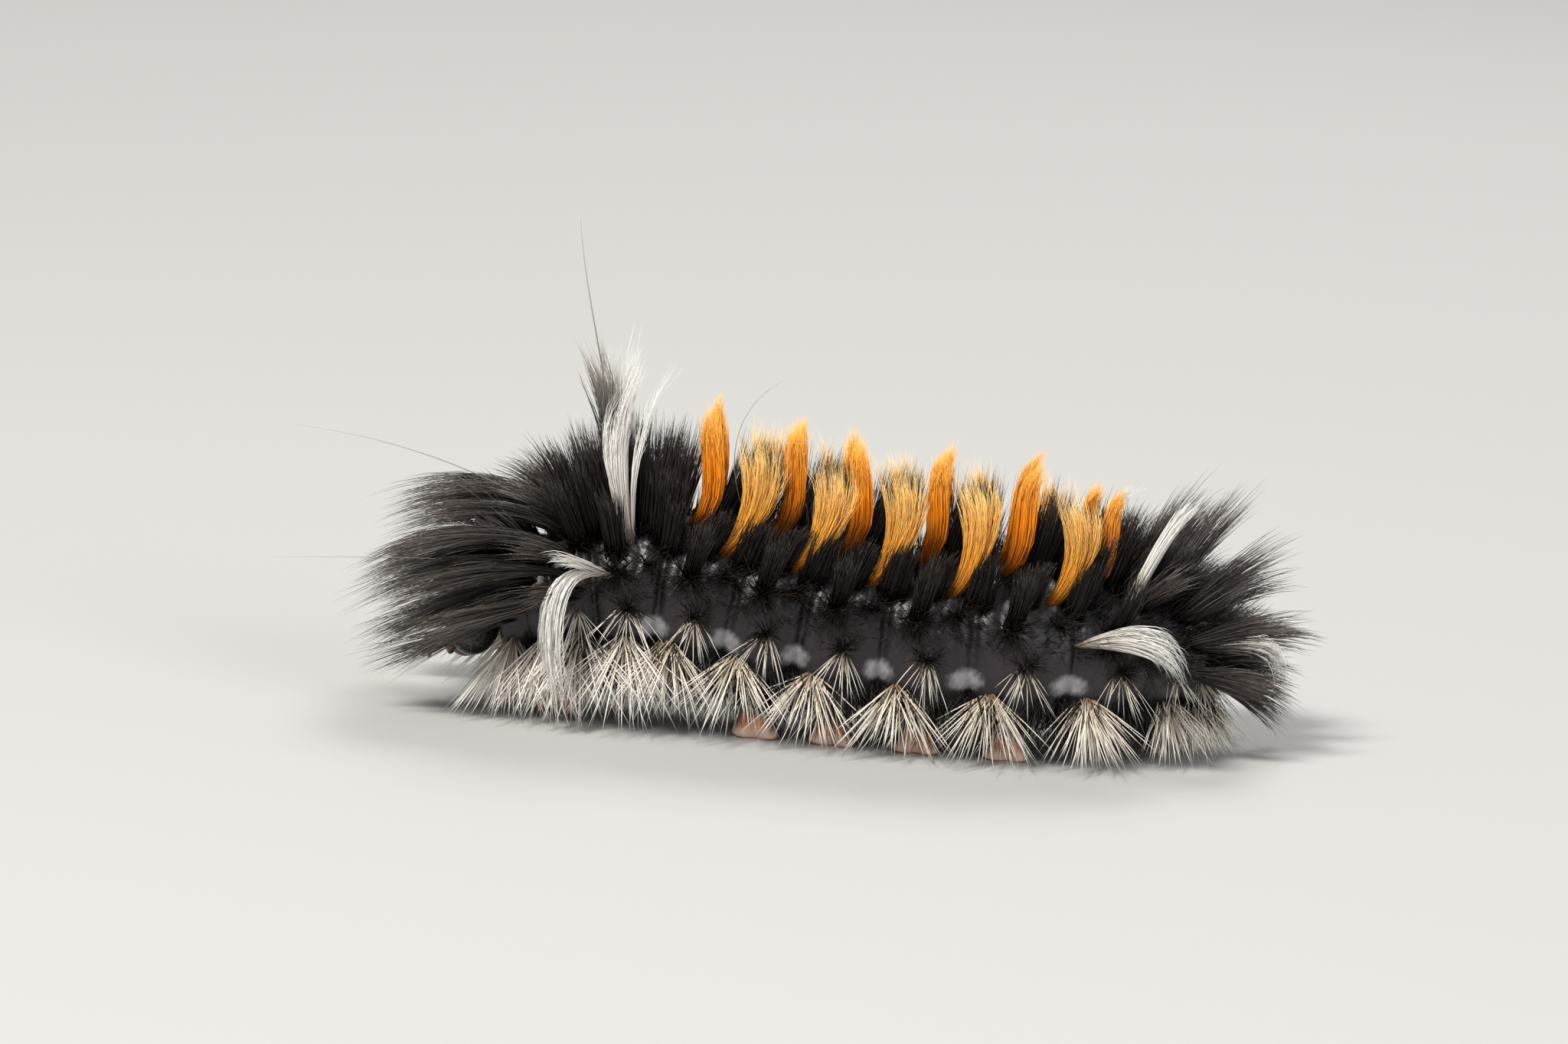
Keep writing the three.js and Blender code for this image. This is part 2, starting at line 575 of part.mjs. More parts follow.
// A fleshy leg that widens to a flat sole
function prolegMesh(name, i, side, sizes) {
  const s = starts[i] + SEGMENTS[i].length * PROLEG_PLACE;
  const { left, back } = frameAt(s);
  const root = skinPoint(s, sizes.angle * side);
  const middle = centreAt(s).setZ(0);
  const foot = middle.clone().addScaledVector(left, side * sizes.aside);
  const top = root.clone().add(new THREE.Vector3(0, 0, PROLEG_ROOT_HEIGHT));
  const yaw = Math.atan2(back.y, back.x);
  const stations = [
    { t: 0, rx: sizes.root, ry: sizes.root * 0.9 },
    { t: 0.5, rx: sizes.root * 0.86, ry: sizes.root * 0.8 },
    { t: 0.74, rx: sizes.ankle, ry: sizes.ankle * 0.92 },
    { t: 1 - SOLE_HEIGHT / top.z, rx: sizes.foot, ry: sizes.footWidth },
    { t: 1, rx: sizes.foot * 0.86, ry: sizes.footWidth * 0.86 },
  ];
  const rings = stations.map(({ t, rx, ry }) => {
    const at = top.clone().lerp(foot, t);
    const ring = [];
    for (let k = 0; k < LEG_SIDES + 2; k += 1) {
      const turn = (2 * Math.PI * k) / (LEG_SIDES + 2);
      const x = rx * Math.cos(turn);
      const y = ry * Math.sin(turn);
      ring.push(new THREE.Vector3(
        at.x + x * Math.cos(yaw) - y * Math.sin(yaw),
        at.y + x * Math.sin(yaw) + y * Math.cos(yaw),
        at.z,
      ));
    }
    return ring;
  });
  return meshFrom(name, loft(rings).subtract(sleeve), COLOURS.foot, ROUGHNESS.foot);
}

const sleeve = bodySleeve();
const body = new THREE.Group();
body.add(headMesh());
for (const side of [1, -1]) {
  body.add(antennaMesh(side));
}
for (let i = 0; i < SEGMENTS.length; i += 1) {
  body.add(segmentMesh(i));
}
for (const side of [1, -1]) {
  const hand = side > 0 ? "left" : "right";
  for (const i of [0, 1, 2]) {
    body.add(thoracicLegMesh(i, side));
  }
  for (const number of [3, 4, 5, 6]) {
    body.add(prolegMesh(`proleg_${number}_${hand}`, number + 2, side, PROLEG));
  }
  body.add(prolegMesh(`anal_proleg_${hand}`, SEGMENTS.length - 1, side, ANAL_PROLEG));
}

// The origin is on the floor below the middle of the whole box
const bounds = new THREE.Box3().setFromObject(body);
const middle = bounds.getCenter(new THREE.Vector3());
body.position.set(-middle.x, -middle.y, -bounds.min.z);

const larva = new THREE.Group();
larva.add(body);

export default larva;
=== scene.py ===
import logging
import math
from dataclasses import dataclass, field, replace
from enum import Enum
from typing import ClassVar

import bpy
import numpy as np
from mathutils import Matrix, Vector


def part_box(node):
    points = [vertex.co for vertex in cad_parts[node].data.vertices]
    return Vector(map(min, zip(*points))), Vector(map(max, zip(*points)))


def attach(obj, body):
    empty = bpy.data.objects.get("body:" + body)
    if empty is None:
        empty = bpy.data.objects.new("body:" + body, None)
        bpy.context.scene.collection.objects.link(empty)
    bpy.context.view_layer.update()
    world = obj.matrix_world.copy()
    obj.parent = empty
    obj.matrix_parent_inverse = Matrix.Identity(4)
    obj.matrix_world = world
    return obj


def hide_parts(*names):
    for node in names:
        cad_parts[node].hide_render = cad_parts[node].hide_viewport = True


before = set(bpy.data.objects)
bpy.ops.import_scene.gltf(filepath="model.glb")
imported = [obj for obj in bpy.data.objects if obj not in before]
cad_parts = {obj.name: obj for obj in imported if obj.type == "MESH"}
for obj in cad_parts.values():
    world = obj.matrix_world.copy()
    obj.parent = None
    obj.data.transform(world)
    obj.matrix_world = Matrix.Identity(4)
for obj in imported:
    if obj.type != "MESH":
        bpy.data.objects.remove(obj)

# A milkweed tussock moth larva at life size: its skin, head, legs and coat of tufted hair.
# Shapes are worked out in millimetres in the body's own frame, with the head to -X, the left
# side to -Y and the floor at z = 0, and are turned to metres as each mesh is made.

log = logging.getLogger("larva")
Array = np.ndarray
Point = tuple[float, float, float]
Colour = tuple[float, float, float]
Solid = tuple[Array, Array]

MILLIMETRE = 0.001
HEAD_FRONT_X = -14.123
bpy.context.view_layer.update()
SEED = 20
POLE = 0.02
WART_SCALE = 0.42
UNWRAP_START = 0.02
UNWRAP_LENGTH = 0.96
UNWRAP_HALF = 0.48


class Side(Enum):
    """The two sides of the body, as the sign of the way out from the middle."""

    LEFT = 1
    RIGHT = -1


class Slot(Enum):
    """The record's material slots."""

    COAT = "coat"
    HEAD = "head"
    LEG = "leg"


def frame_shift() -> Array:
    """Where the body's own origin lies in the frame, in millimetres, read from the head's box."""
    low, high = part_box("head")
    return np.array([low.x / MILLIMETRE - HEAD_FRONT_X, (low.y + high.y) / 2 / MILLIMETRE, 0.0])


SHIFT = frame_shift()


def unit(vectors: Array) -> Array:
    """The same vectors at length one."""
    return vectors / np.maximum(np.linalg.norm(vectors, axis=-1, keepdims=True), 1e-9)


def smooth(values: Array, low: float, high: float) -> Array:
    """A smooth step from 0 at low to 1 at high."""
    t = np.clip((np.asarray(values, float) - low) / (high - low), 0, 1)
    return t * t * (3 - 2 * t)


@dataclass
class BodyLine:
    """The centre line and girth of the body, in millimetres, as the solids have them."""

    lengths: tuple[float, ...] = (
        1.15, 1.3, 1.6, 2.7, 3.1, 3.0, 3.5, 3.6, 3.6, 3.2, 2.5, 1.7, 1.7)
    widths: tuple[float, ...] = (
        4.4, 5.2, 5.9, 6.5, 6.7, 6.8, 6.8, 6.8, 6.7, 6.3, 5.6, 4.6, 3.4)
    heights: tuple[float, ...] = (
        4.4, 5.2, 5.9, 6.6, 6.8, 6.9, 6.9, 6.9, 6.8, 6.3, 5.6, 4.6, 3.4)
    centres: tuple[float, ...] = (
        4.2, 4.8, 5.3, 5.6, 5.5, 5.1, 4.75, 4.6, 4.6, 4.4, 4.0, 3.5, 2.9)
    bend_total: float = math.radians(52)
    bend_start: float = 18.0
    bend_end: float = 31.0
    front_x: float = -11.7
    fold_depth: float = 0.075
    crease_depth: float = 0.16
    belly: float = 0.93
    neck_length: float = 1.2
    neck_girth: float = 0.78
    tail_start: float = 0.3
    tail_length: float = 0.74
    margin: float = 12.0
    frame_span: float = 1.3
    step: float = 0.05

    def __post_init__(self) -> None:
        """Works out the centre line and its directions in small steps."""
        self.starts = np.concatenate([[0.0], np.cumsum(self.lengths)])
        self.length = float(self.starts[-1])
        self.middles = (self.starts[:-1] + self.starts[1:]) / 2
        self.stations = np.arange(-self.margin, self.length + self.margin, self.step)
        inside = np.clip(self.stations, 0, self.length)
        yaw = self.bend_total * smooth(inside, self.bend_start, self.bend_end)
        x = np.cumsum(np.cos(yaw)) * self.step
        y = np.cumsum(np.sin(yaw)) * self.step
        x += self.front_x - np.interp(0.0, self.stations, x)
        y -= np.interp(0.0, self.stations, y)
        height = self._values(self.centres, inside)
        for end, sign in ((0.0, -1), (self.length, 1)):
            slope = sign * (self._values(self.centres, np.array([end])) -
                            self._values(self.centres, np.array([end - sign])))[0]
            beyond = (self.stations - end) * sign > 0
            height[beyond] += slope * (self.stations[beyond] - end)
        self.line = np.stack([x, y, height], axis=1)
        span = int(self.frame_span / self.step)
        ahead = np.roll(self.line, -span, axis=0)
        behind = np.roll(self.line, span, axis=0)
        back = ahead - behind
        back[:span] = back[span]
        back[-span:] = back[-span - 1]
        self.backs = unit(back)
        self.lefts = unit(np.cross(self.backs, [0, 0, 1]))
        self.ups = np.cross(self.lefts, self.backs)

    def _values(self, table: tuple[float, ...], s: Array) -> Array:
        """A size at stations s, on a smooth curve through the segments' middles."""
        middles, table = self.middles, np.asarray(table)
        i = np.clip(np.searchsorted(middles, s) - 1, 0, len(middles) - 2)
        t = np.clip((s - middles[i]) / (middles[i + 1] - middles[i]), -0.5, 1.5)
        before, low, high, after = (table[np.clip(i + k, 0, len(table) - 1)]
                                    for k in (-1, 0, 1, 2))
        slope_in, slope_out, rise = (high - before) / 2, (after - low) / 2, high - low
        return (low + slope_in * t + (3 * rise - 2 * slope_in - slope_out) * t**2
                + (slope_in + slope_out - 2 * rise) * t**3)

    def _look_up(self, table: Array, s: Array) -> Array:
        """Rows of a table of stations, between its steps."""
        return np.stack([np.interp(s, self.stations, table[:, k]) for k in range(3)], axis=-1)

    def centre(self, s: Array) -> Array:
        """Points on the centre line at distances s behind the neck."""
        return self._look_up(self.line, s)

    def axes(self, s: Array) -> tuple[Array, Array, Array]:
        """The directions back, left and up at distances s."""
        return (unit(self._look_up(self.backs, s)), unit(self._look_up(self.lefts, s)),
                unit(self._look_up(self.ups, s)))

    def segment(self, s: Array) -> tuple[Array, Array]:
        """The number of the segment at s, and the share of its length."""
        i = np.clip(np.searchsorted(self.starts, s, side="right") - 1, 0, len(self.lengths) - 1)
        return i, np.clip((s - self.starts[i]) / np.asarray(self.lengths)[i], 0, 1)

    def draw_in(self, s: Array) -> Array:
        """The share of the full girth at s: less at the folds, the neck and the rear end."""
        i, u = self.segment(s)
        fold = 1 - self.fold_depth * (1 - np.sqrt(np.maximum(0, 4 * u * (1 - u))))
        neck = self.neck_girth + (1 - self.neck_girth) * np.sqrt(
            np.clip(s / self.neck_length, 0, 1))
        tail = (i == len(self.lengths) - 1) & (u > self.tail_start)
        rear = np.where(tail, np.sqrt(np.maximum(
            0.0, 1 - ((u - self.tail_start) / self.tail_length) ** 2)), 1.0)
        return fold * neck * rear

    def skin(self, s: Array, angle: Array, lift: Array | float = 0.0) -> Array:
        """Points on the skin.

        Args:
            s: Distances behind the neck.
            angle: Degrees from the top of the back, positive on the left.
            lift: How far outside the plain skin the points lie.

        Returns:
            One row of x, y and z for each point.
        """
        s, angle = np.broadcast_arrays(np.asarray(s, float), np.asarray(angle, float))
        _, left, up = self.axes(s)
        turn = np.radians(angle)
        shrink = self.draw_in(s)
        belly = np.where(np.cos(turn) < 0, self.belly, 1.0)
        across = self._values(self.widths, np.clip(s, 0, self.length)) / 2 * shrink + lift
        tall = self._values(self.heights, np.clip(s, 0, self.length)) / 2 * shrink * belly + lift
        return (self.centre(s) + left * (np.sin(turn) * across)[..., None]
                + up * (np.cos(turn) * tall)[..., None])


BODY = BodyLine()


def new_object(name: str, mesh: bpy.types.Mesh, replaced: tuple[str, ...] = ()
               ) -> bpy.types.Object:
    """Puts a mesh in the scene as a piece that rides on the root body.

    Args:
        name: The piece's name.
        mesh: Its mesh, already in metres and in the frame.
        replaced: The CAD nodes that it stands for.

    Returns:
        The new object.
    """
    piece = bpy.data.objects.new(name, mesh)
    bpy.context.scene.collection.objects.link(piece)
    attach(piece, "root")
    if replaced:
        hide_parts(*replaced)
    return piece


def mesh_from(name: str, points: Array, triangles: Array) -> bpy.types.Mesh:
    """A smooth mesh in metres from points in millimetres of the body's own frame."""
    mesh = bpy.data.meshes.new(name)
    count = len(triangles)
    mesh.vertices.add(len(points))
    mesh.vertices.foreach_set("co", ((points + SHIFT) * MILLIMETRE).astype(np.float32).ravel())
    mesh.loops.add(count * 3)
    mesh.loops.foreach_set("vertex_index", triangles.astype(np.int32).ravel())
    mesh.polygons.add(count)
    mesh.polygons.foreach_set("loop_start", np.arange(count, dtype=np.int32) * 3)
    mesh.update(calc_edges=True)
    mesh.shade_smooth()
    return mesh


def circle(count: int) -> Array:
    """Angles in radians at even steps round a circle."""
    return np.radians(np.linspace(0, 360, count, endpoint=False))


def level_rings(centres: list, radii: tuple[float, ...], columns: int, depth: float = 1.0
                ) -> Array:
    """Level rings of points, one round each centre; depth is their size along x."""
    turn = circle(columns)
    ring = np.stack([depth * np.cos(turn), np.sin(turn), 0 * turn], -1)
    return np.asarray(centres, float)[:, None] + np.asarray(radii)[:, None, None] * ring


def grid_triangles(rows: int, columns: int) -> Array:
    """Triangles between closed rings of points, row after row."""
    r, c = np.meshgrid(np.arange(rows - 1), np.arange(columns), indexing="ij")
    a = r * columns + c
    b = r * columns + (c + 1) % columns
    return np.concatenate([np.stack([a, b, b + columns], -1).reshape(-1, 3),
                           np.stack([a, b + columns, a + columns], -1).reshape(-1, 3)])


def closed_loft(rings: Array) -> Solid:
    """Points and triangles of a solid through rings, closed at both ends by a middle point."""
    rows, columns, _ = rings.shape
    points = np.concatenate([rings.reshape(-1, 3), rings[:1].mean(1), rings[-1:].mean(1)])
    k = np.arange(columns)
    first, last = rows * columns, rows * columns + 1
    start = np.stack([np.full(columns, first), (k + 1) % columns, k], -1)
    low = (rows - 1) * columns
    end = np.stack([np.full(columns, last), low + k, low + (k + 1) % columns], -1)
    return points, np.concatenate([grid_triangles(rows, columns), start, end])


def ball(centre: Array, radii: Point | Array, rows: int = 24, columns: int = 32) -> Solid:
    """Points and triangles of an ellipsoid."""
    polar = np.linspace(POLE, math.pi - POLE, rows)
    turn = np.linspace(0, 2 * math.pi, columns, endpoint=False)
    p, t = np.meshgrid(polar, turn, indexing="ij")
    ring = np.stack([np.sin(p) * np.cos(t), np.sin(p) * np.sin(t), np.cos(p)], -1)
    return closed_loft(ring * radii + centre)


def join(parts: list[Solid]) -> Solid:
    """Points and triangles of several solids, as one list of each."""
    starts = np.cumsum([0] + [len(points) for points, _ in parts[:-1]])
    return (np.concatenate([points for points, _ in parts]),
            np.concatenate([triangles + start for (_, triangles), start in zip(parts, starts)]))


def attribute_node(tree: bpy.types.NodeTree, name: str) -> bpy.types.Node:
    """A node that reads one of the mesh's attributes."""
    node = tree.nodes.new("ShaderNodeAttribute")
    node.attribute_name = name
    return node


def mix_node(tree: bpy.types.NodeTree, kind: str) -> bpy.types.Node:
    """A node that mixes colours (RGBA) or numbers (FLOAT)."""
    node = tree.nodes.new("ShaderNodeMix")
    node.data_type = kind
    return node


def math_node(tree: bpy.types.NodeTree, operation: str, source: bpy.types.NodeSocket
              ) -> bpy.types.Node:
    """A node that works on a number."""
    node = tree.nodes.new("ShaderNodeMath")
    node.operation = operation
    tree.links.new(source, node.inputs[0])
    return node


@dataclass
class ShaderGroups:
    """The shader node groups that several finishes share, each built once."""

    made: dict[str, bpy.types.NodeTree] = field(default_factory=dict)
    grain_detail: float = 3.0
    spot_range: tuple[float, float] = (0.5, 0.72)

    def begin(self, name: str, colours: tuple[str, ...], numbers: dict[str, float]
              ) -> tuple[bpy.types.NodeTree, bpy.types.Node, bpy.types.Node]:
        """Starts a group.

        Args:
            name: The group's name.
            colours: The names of its colour inputs.
            numbers: The names of its number inputs, with their values.

        Returns:
            The group and its input and output nodes.
        """
        tree = self.made[name] = bpy.data.node_groups.new(name, "ShaderNodeTree")
        for title in colours:
            tree.interface.new_socket(title, in_out="INPUT", socket_type="NodeSocketColor")
        for title, value in numbers.items():
            item = tree.interface.new_socket(title, in_out="INPUT", socket_type="NodeSocketFloat")
            item.default_value = value
        return tree, tree.nodes.new("NodeGroupInput"), tree.nodes.new("NodeGroupOutput")

    def strand_tint(self) -> bpy.types.NodeTree:
        """Colours a hair from root to tip, lighter or darker from hair to hair."""
        if "strand_tint" in self.made:
            return self.made["strand_tint"]
        tree, given, out = self.begin("strand_tint", ("Root", "Middle", "Tip"),
                                      {"Variation": 0.3, "Bend": 0.45})
        tree.interface.new_socket("Color", in_out="OUTPUT", socket_type="NodeSocketColor")
        link = tree.links.new
        along, tone = (attribute_node(tree, name) for name in ("along", "tone"))
        lower, upper = (tree.nodes.new("ShaderNodeMapRange") for _ in range(2))
        link(given.outputs["Bend"], lower.inputs["From Max"])
        link(given.outputs["Bend"], upper.inputs["From Min"])
        first, second = (mix_node(tree, "RGBA") for _ in range(2))
        for span, mix in ((lower, first), (upper, second)):
            link(along.outputs["Fac"], span.inputs["Value"])
            link(span.outputs["Result"], mix.inputs["Factor"])
        link(given.outputs["Root"], first.inputs["A"])
        link(given.outputs["Middle"], first.inputs["B"])
        link(first.outputs["Result"], second.inputs["A"])
        link(given.outputs["Tip"], second.inputs["B"])
        centred = math_node(tree, "SUBTRACT", tone.outputs["Fac"])
        centred.inputs[1].default_value = 0.5
        scaled = math_node(tree, "MULTIPLY_ADD", centred.outputs["Value"])
        scaled.inputs[2].default_value = 1.0
        link(given.outputs["Variation"], scaled.inputs[1])
        bright = tree.nodes.new("ShaderNodeHueSaturation")
        link(second.outputs["Result"], bright.inputs["Color"])
        link(scaled.outputs["Value"], bright.inputs["Value"])
        link(bright.outputs["Color"], out.inputs["Color"])
        return tree

    def fine_relief(self) -> bpy.types.NodeTree:
        """The fine grain of skin and shell: a height and a mask of small lighter spots."""
        if "fine_relief" in self.made:
            return self.made["fine_relief"]
        tree, given, out = self.begin(
            "fine_relief", (), {"Grain": 6000.0, "Wrinkle": 1500.0, "Wrinkle Share": 0.5})
        for name in ("Height", "Mask"):
            tree.interface.new_socket(name, in_out="OUTPUT", socket_type="NodeSocketFloat")
        link = tree.links.new
        place = tree.nodes.new("ShaderNodeTexCoord")
        grain = tree.nodes.new("ShaderNodeTexNoise")
        grain.inputs["Detail"].default_value = self.grain_detail
        cells = tree.nodes.new("ShaderNodeTexVoronoi")
        for texture, name in ((grain, "Grain"), (cells, "Wrinkle")):
            link(place.outputs["Object"], texture.inputs["Vector"])
            link(given.outputs[name], texture.inputs["Scale"])
        both = mix_node(tree, "FLOAT")
        link(given.outputs["Wrinkle Share"], both.inputs["Factor"])
        link(grain.outputs["Fac"], both.inputs["A"])
        link(cells.outputs["Distance"], both.inputs["B"])
        link(both.outputs["Result"], out.inputs["Height"])
        spots = tree.nodes.new("ShaderNodeMapRange")
        for name, value in zip(("From Min", "From Max"), self.spot_range):
            spots.inputs[name].default_value = value
        link(grain.outputs["Fac"], spots.inputs["Value"])
        link(spots.outputs["Result"], out.inputs["Mask"])
        return tree


GROUPS = ShaderGroups()


def material_with_shader(name: str) -> tuple[bpy.types.Material, bpy.types.Node]:
    """A new node material and its Principled shader."""
    material = bpy.data.materials.new(name)
    material.use_nodes = True
    return material, material.node_tree.nodes["Principled BSDF"]


def group_node(material: bpy.types.Material, tree: bpy.types.NodeTree) -> bpy.types.Node:
    """Places a shared group in a material."""
    node = material.node_tree.nodes.new("ShaderNodeGroup")
    node.node_tree = tree
    return node


@dataclass(frozen=True)
class HairFinish:
    """The finish of one kind of hair."""

    name: str
    root: Colour
    middle: Colour
    tip: Colour
    roughness: float = 0.5
    specular: float = 0.4
    variation: float = 0.5
    bend: float = 0.45

    def material(self) -> bpy.types.Material:
        """Builds the node material."""
        material, shader = material_with_shader(self.name)
        tint = group_node(material, GROUPS.strand_tint())
        for name, colour in (("Root", self.root), ("Middle", self.middle), ("Tip", self.tip)):
            tint.inputs[name].default_value = (*colour, 1.0)
        tint.inputs["Variation"].default_value = self.variation
        tint.inputs["Bend"].default_value = self.bend
        material.node_tree.links.new(tint.outputs["Color"], shader.inputs["Base Color"])
        shader.inputs["Roughness"].default_value = self.roughness
        shader.inputs["Specular IOR Level"].default_value = self.specular
        return material


@dataclass(frozen=True)
class ShellFinish:
    """A hard or leathery finish whose colour is painted on the mesh by its maker's masks."""

    name: str
    roughness: float
    coat: float = 0.0
    bump: float = 0.00001
    grain: float = 6000.0
    wrinkle: float = 1500.0
    wrinkle_share: float = 0.4
    spot: Colour = (0.3, 0.3, 0.3)
    spot_share: float = 0.15
    subsurface: float = 0.0
    subsurface_depth: float = 0.0005
    subsurface_reach: Colour = (1.0, 0.35, 0.2)
    coat_roughness: float = 0.24

    def material(self) -> bpy.types.Material:
        """Builds the node material, which reads the mesh's tint attribute."""
        material, shader = material_with_shader(self.name)
        tree = material.node_tree
        link = tree.links.new
        relief = group_node(material, GROUPS.fine_relief())
        for name, value in (("Grain", self.grain), ("Wrinkle", self.wrinkle),
                            ("Wrinkle Share", self.wrinkle_share)):
            relief.inputs[name].default_value = value
        tint = attribute_node(tree, "tint")
        share = math_node(tree, "MULTIPLY", relief.outputs["Mask"])
        share.inputs[1].default_value = self.spot_share
        mix = mix_node(tree, "RGBA")
        link(share.outputs["Value"], mix.inputs["Factor"])
        link(tint.outputs["Color"], mix.inputs["A"])
        mix.inputs["B"].default_value = (*self.spot, 1.0)
        link(mix.outputs["Result"], shader.inputs["Base Color"])
        bump = tree.nodes.new("ShaderNodeBump")
        bump.inputs["Distance"].default_value = self.bump
        link(relief.outputs["Height"], bump.inputs["Height"])
        link(bump.outputs["Normal"], shader.inputs["Normal"])
        shader.inputs["Roughness"].default_value = self.roughness
        shader.inputs["Coat Weight"].default_value = self.coat
        shader.inputs["Coat Roughness"].default_value = self.coat_roughness
        if self.subsurface:
            for name, value in (("Weight", self.subsurface), ("Scale", self.subsurface_depth),
                                ("Radius", self.subsurface_reach)):
                shader.inputs[f"Subsurface {name}"].default_value = value
        return material


def paint(mesh: bpy.types.Mesh, colours: Array | Colour) -> None:
    """Stores a linear colour, or one for each point, as the mesh's tint."""
    layer = mesh.color_attributes.new("tint", "FLOAT_COLOR", "POINT")
    colours = np.broadcast_to(colours, (len(mesh.vertices), 3))
    rgba = np.concatenate([colours, np.ones((len(colours), 1))], axis=1)
    layer.data.foreach_set("color", rgba.astype(np.float32).ravel())


def own_points(mesh: bpy.types.Mesh) -> Array:
    """The mesh's points in millimetres of the body's own frame."""
    co = np.empty(len(mesh.vertices) * 3, np.float32)
    mesh.vertices.foreach_get("co", co)
    return co.reshape(-1, 3).astype(float) / MILLIMETRE - SHIFT


def blend(colours: Array, mask: Array, colour: Colour) -> Array:
    """The colours with another one laid over them as far as the mask says."""
    return colours + mask[:, None] * (np.array(colour) - colours)


def shell_piece(name: str, solid: Solid, colour: Colour, finish: ShellFinish,
                replaced: tuple[str, ...] = ()) -> bpy.types.Object:
    """A solid as a piece of one painted colour.

    Args:
        name: The piece's name.
        solid: Its points and triangles.
        colour: Its linear colour.
        finish: The finish that it is given.
        replaced: The CAD nodes that it stands for.

    Returns:
        The new object.
    """
    mesh = mesh_from(name, *solid)
    piece = new_object(name, mesh, replaced)
    paint(mesh, colour)
    mesh.materials.append(finish.material())
    return piece


def fuse(piece: bpy.types.Object, voxel: float, rounds: int) -> Array:
    """Joins the solids of a piece into one soft skin.

    Args:
        piece: The piece, whose mesh is replaced.
        voxel: The size of the skin's faces, in millimetres.
        rounds: How many times it is smoothed.

    Returns:
        The skin's points in millimetres of the body's own frame.
    """
    remesh = piece.modifiers.new("join", "REMESH")
    remesh.mode = "VOXEL"
    remesh.voxel_size = voxel * MILLIMETRE
    piece.modifiers.new("soften", "SMOOTH").iterations = rounds
    graph = bpy.context.evaluated_depsgraph_get()
    made = bpy.data.meshes.new_from_object(piece.evaluated_get(graph), depsgraph=graph)
    piece.modifiers.clear()
    old, piece.data = piece.data, made
    bpy.data.meshes.remove(old)
    made.shade_smooth()
    return own_points(made)


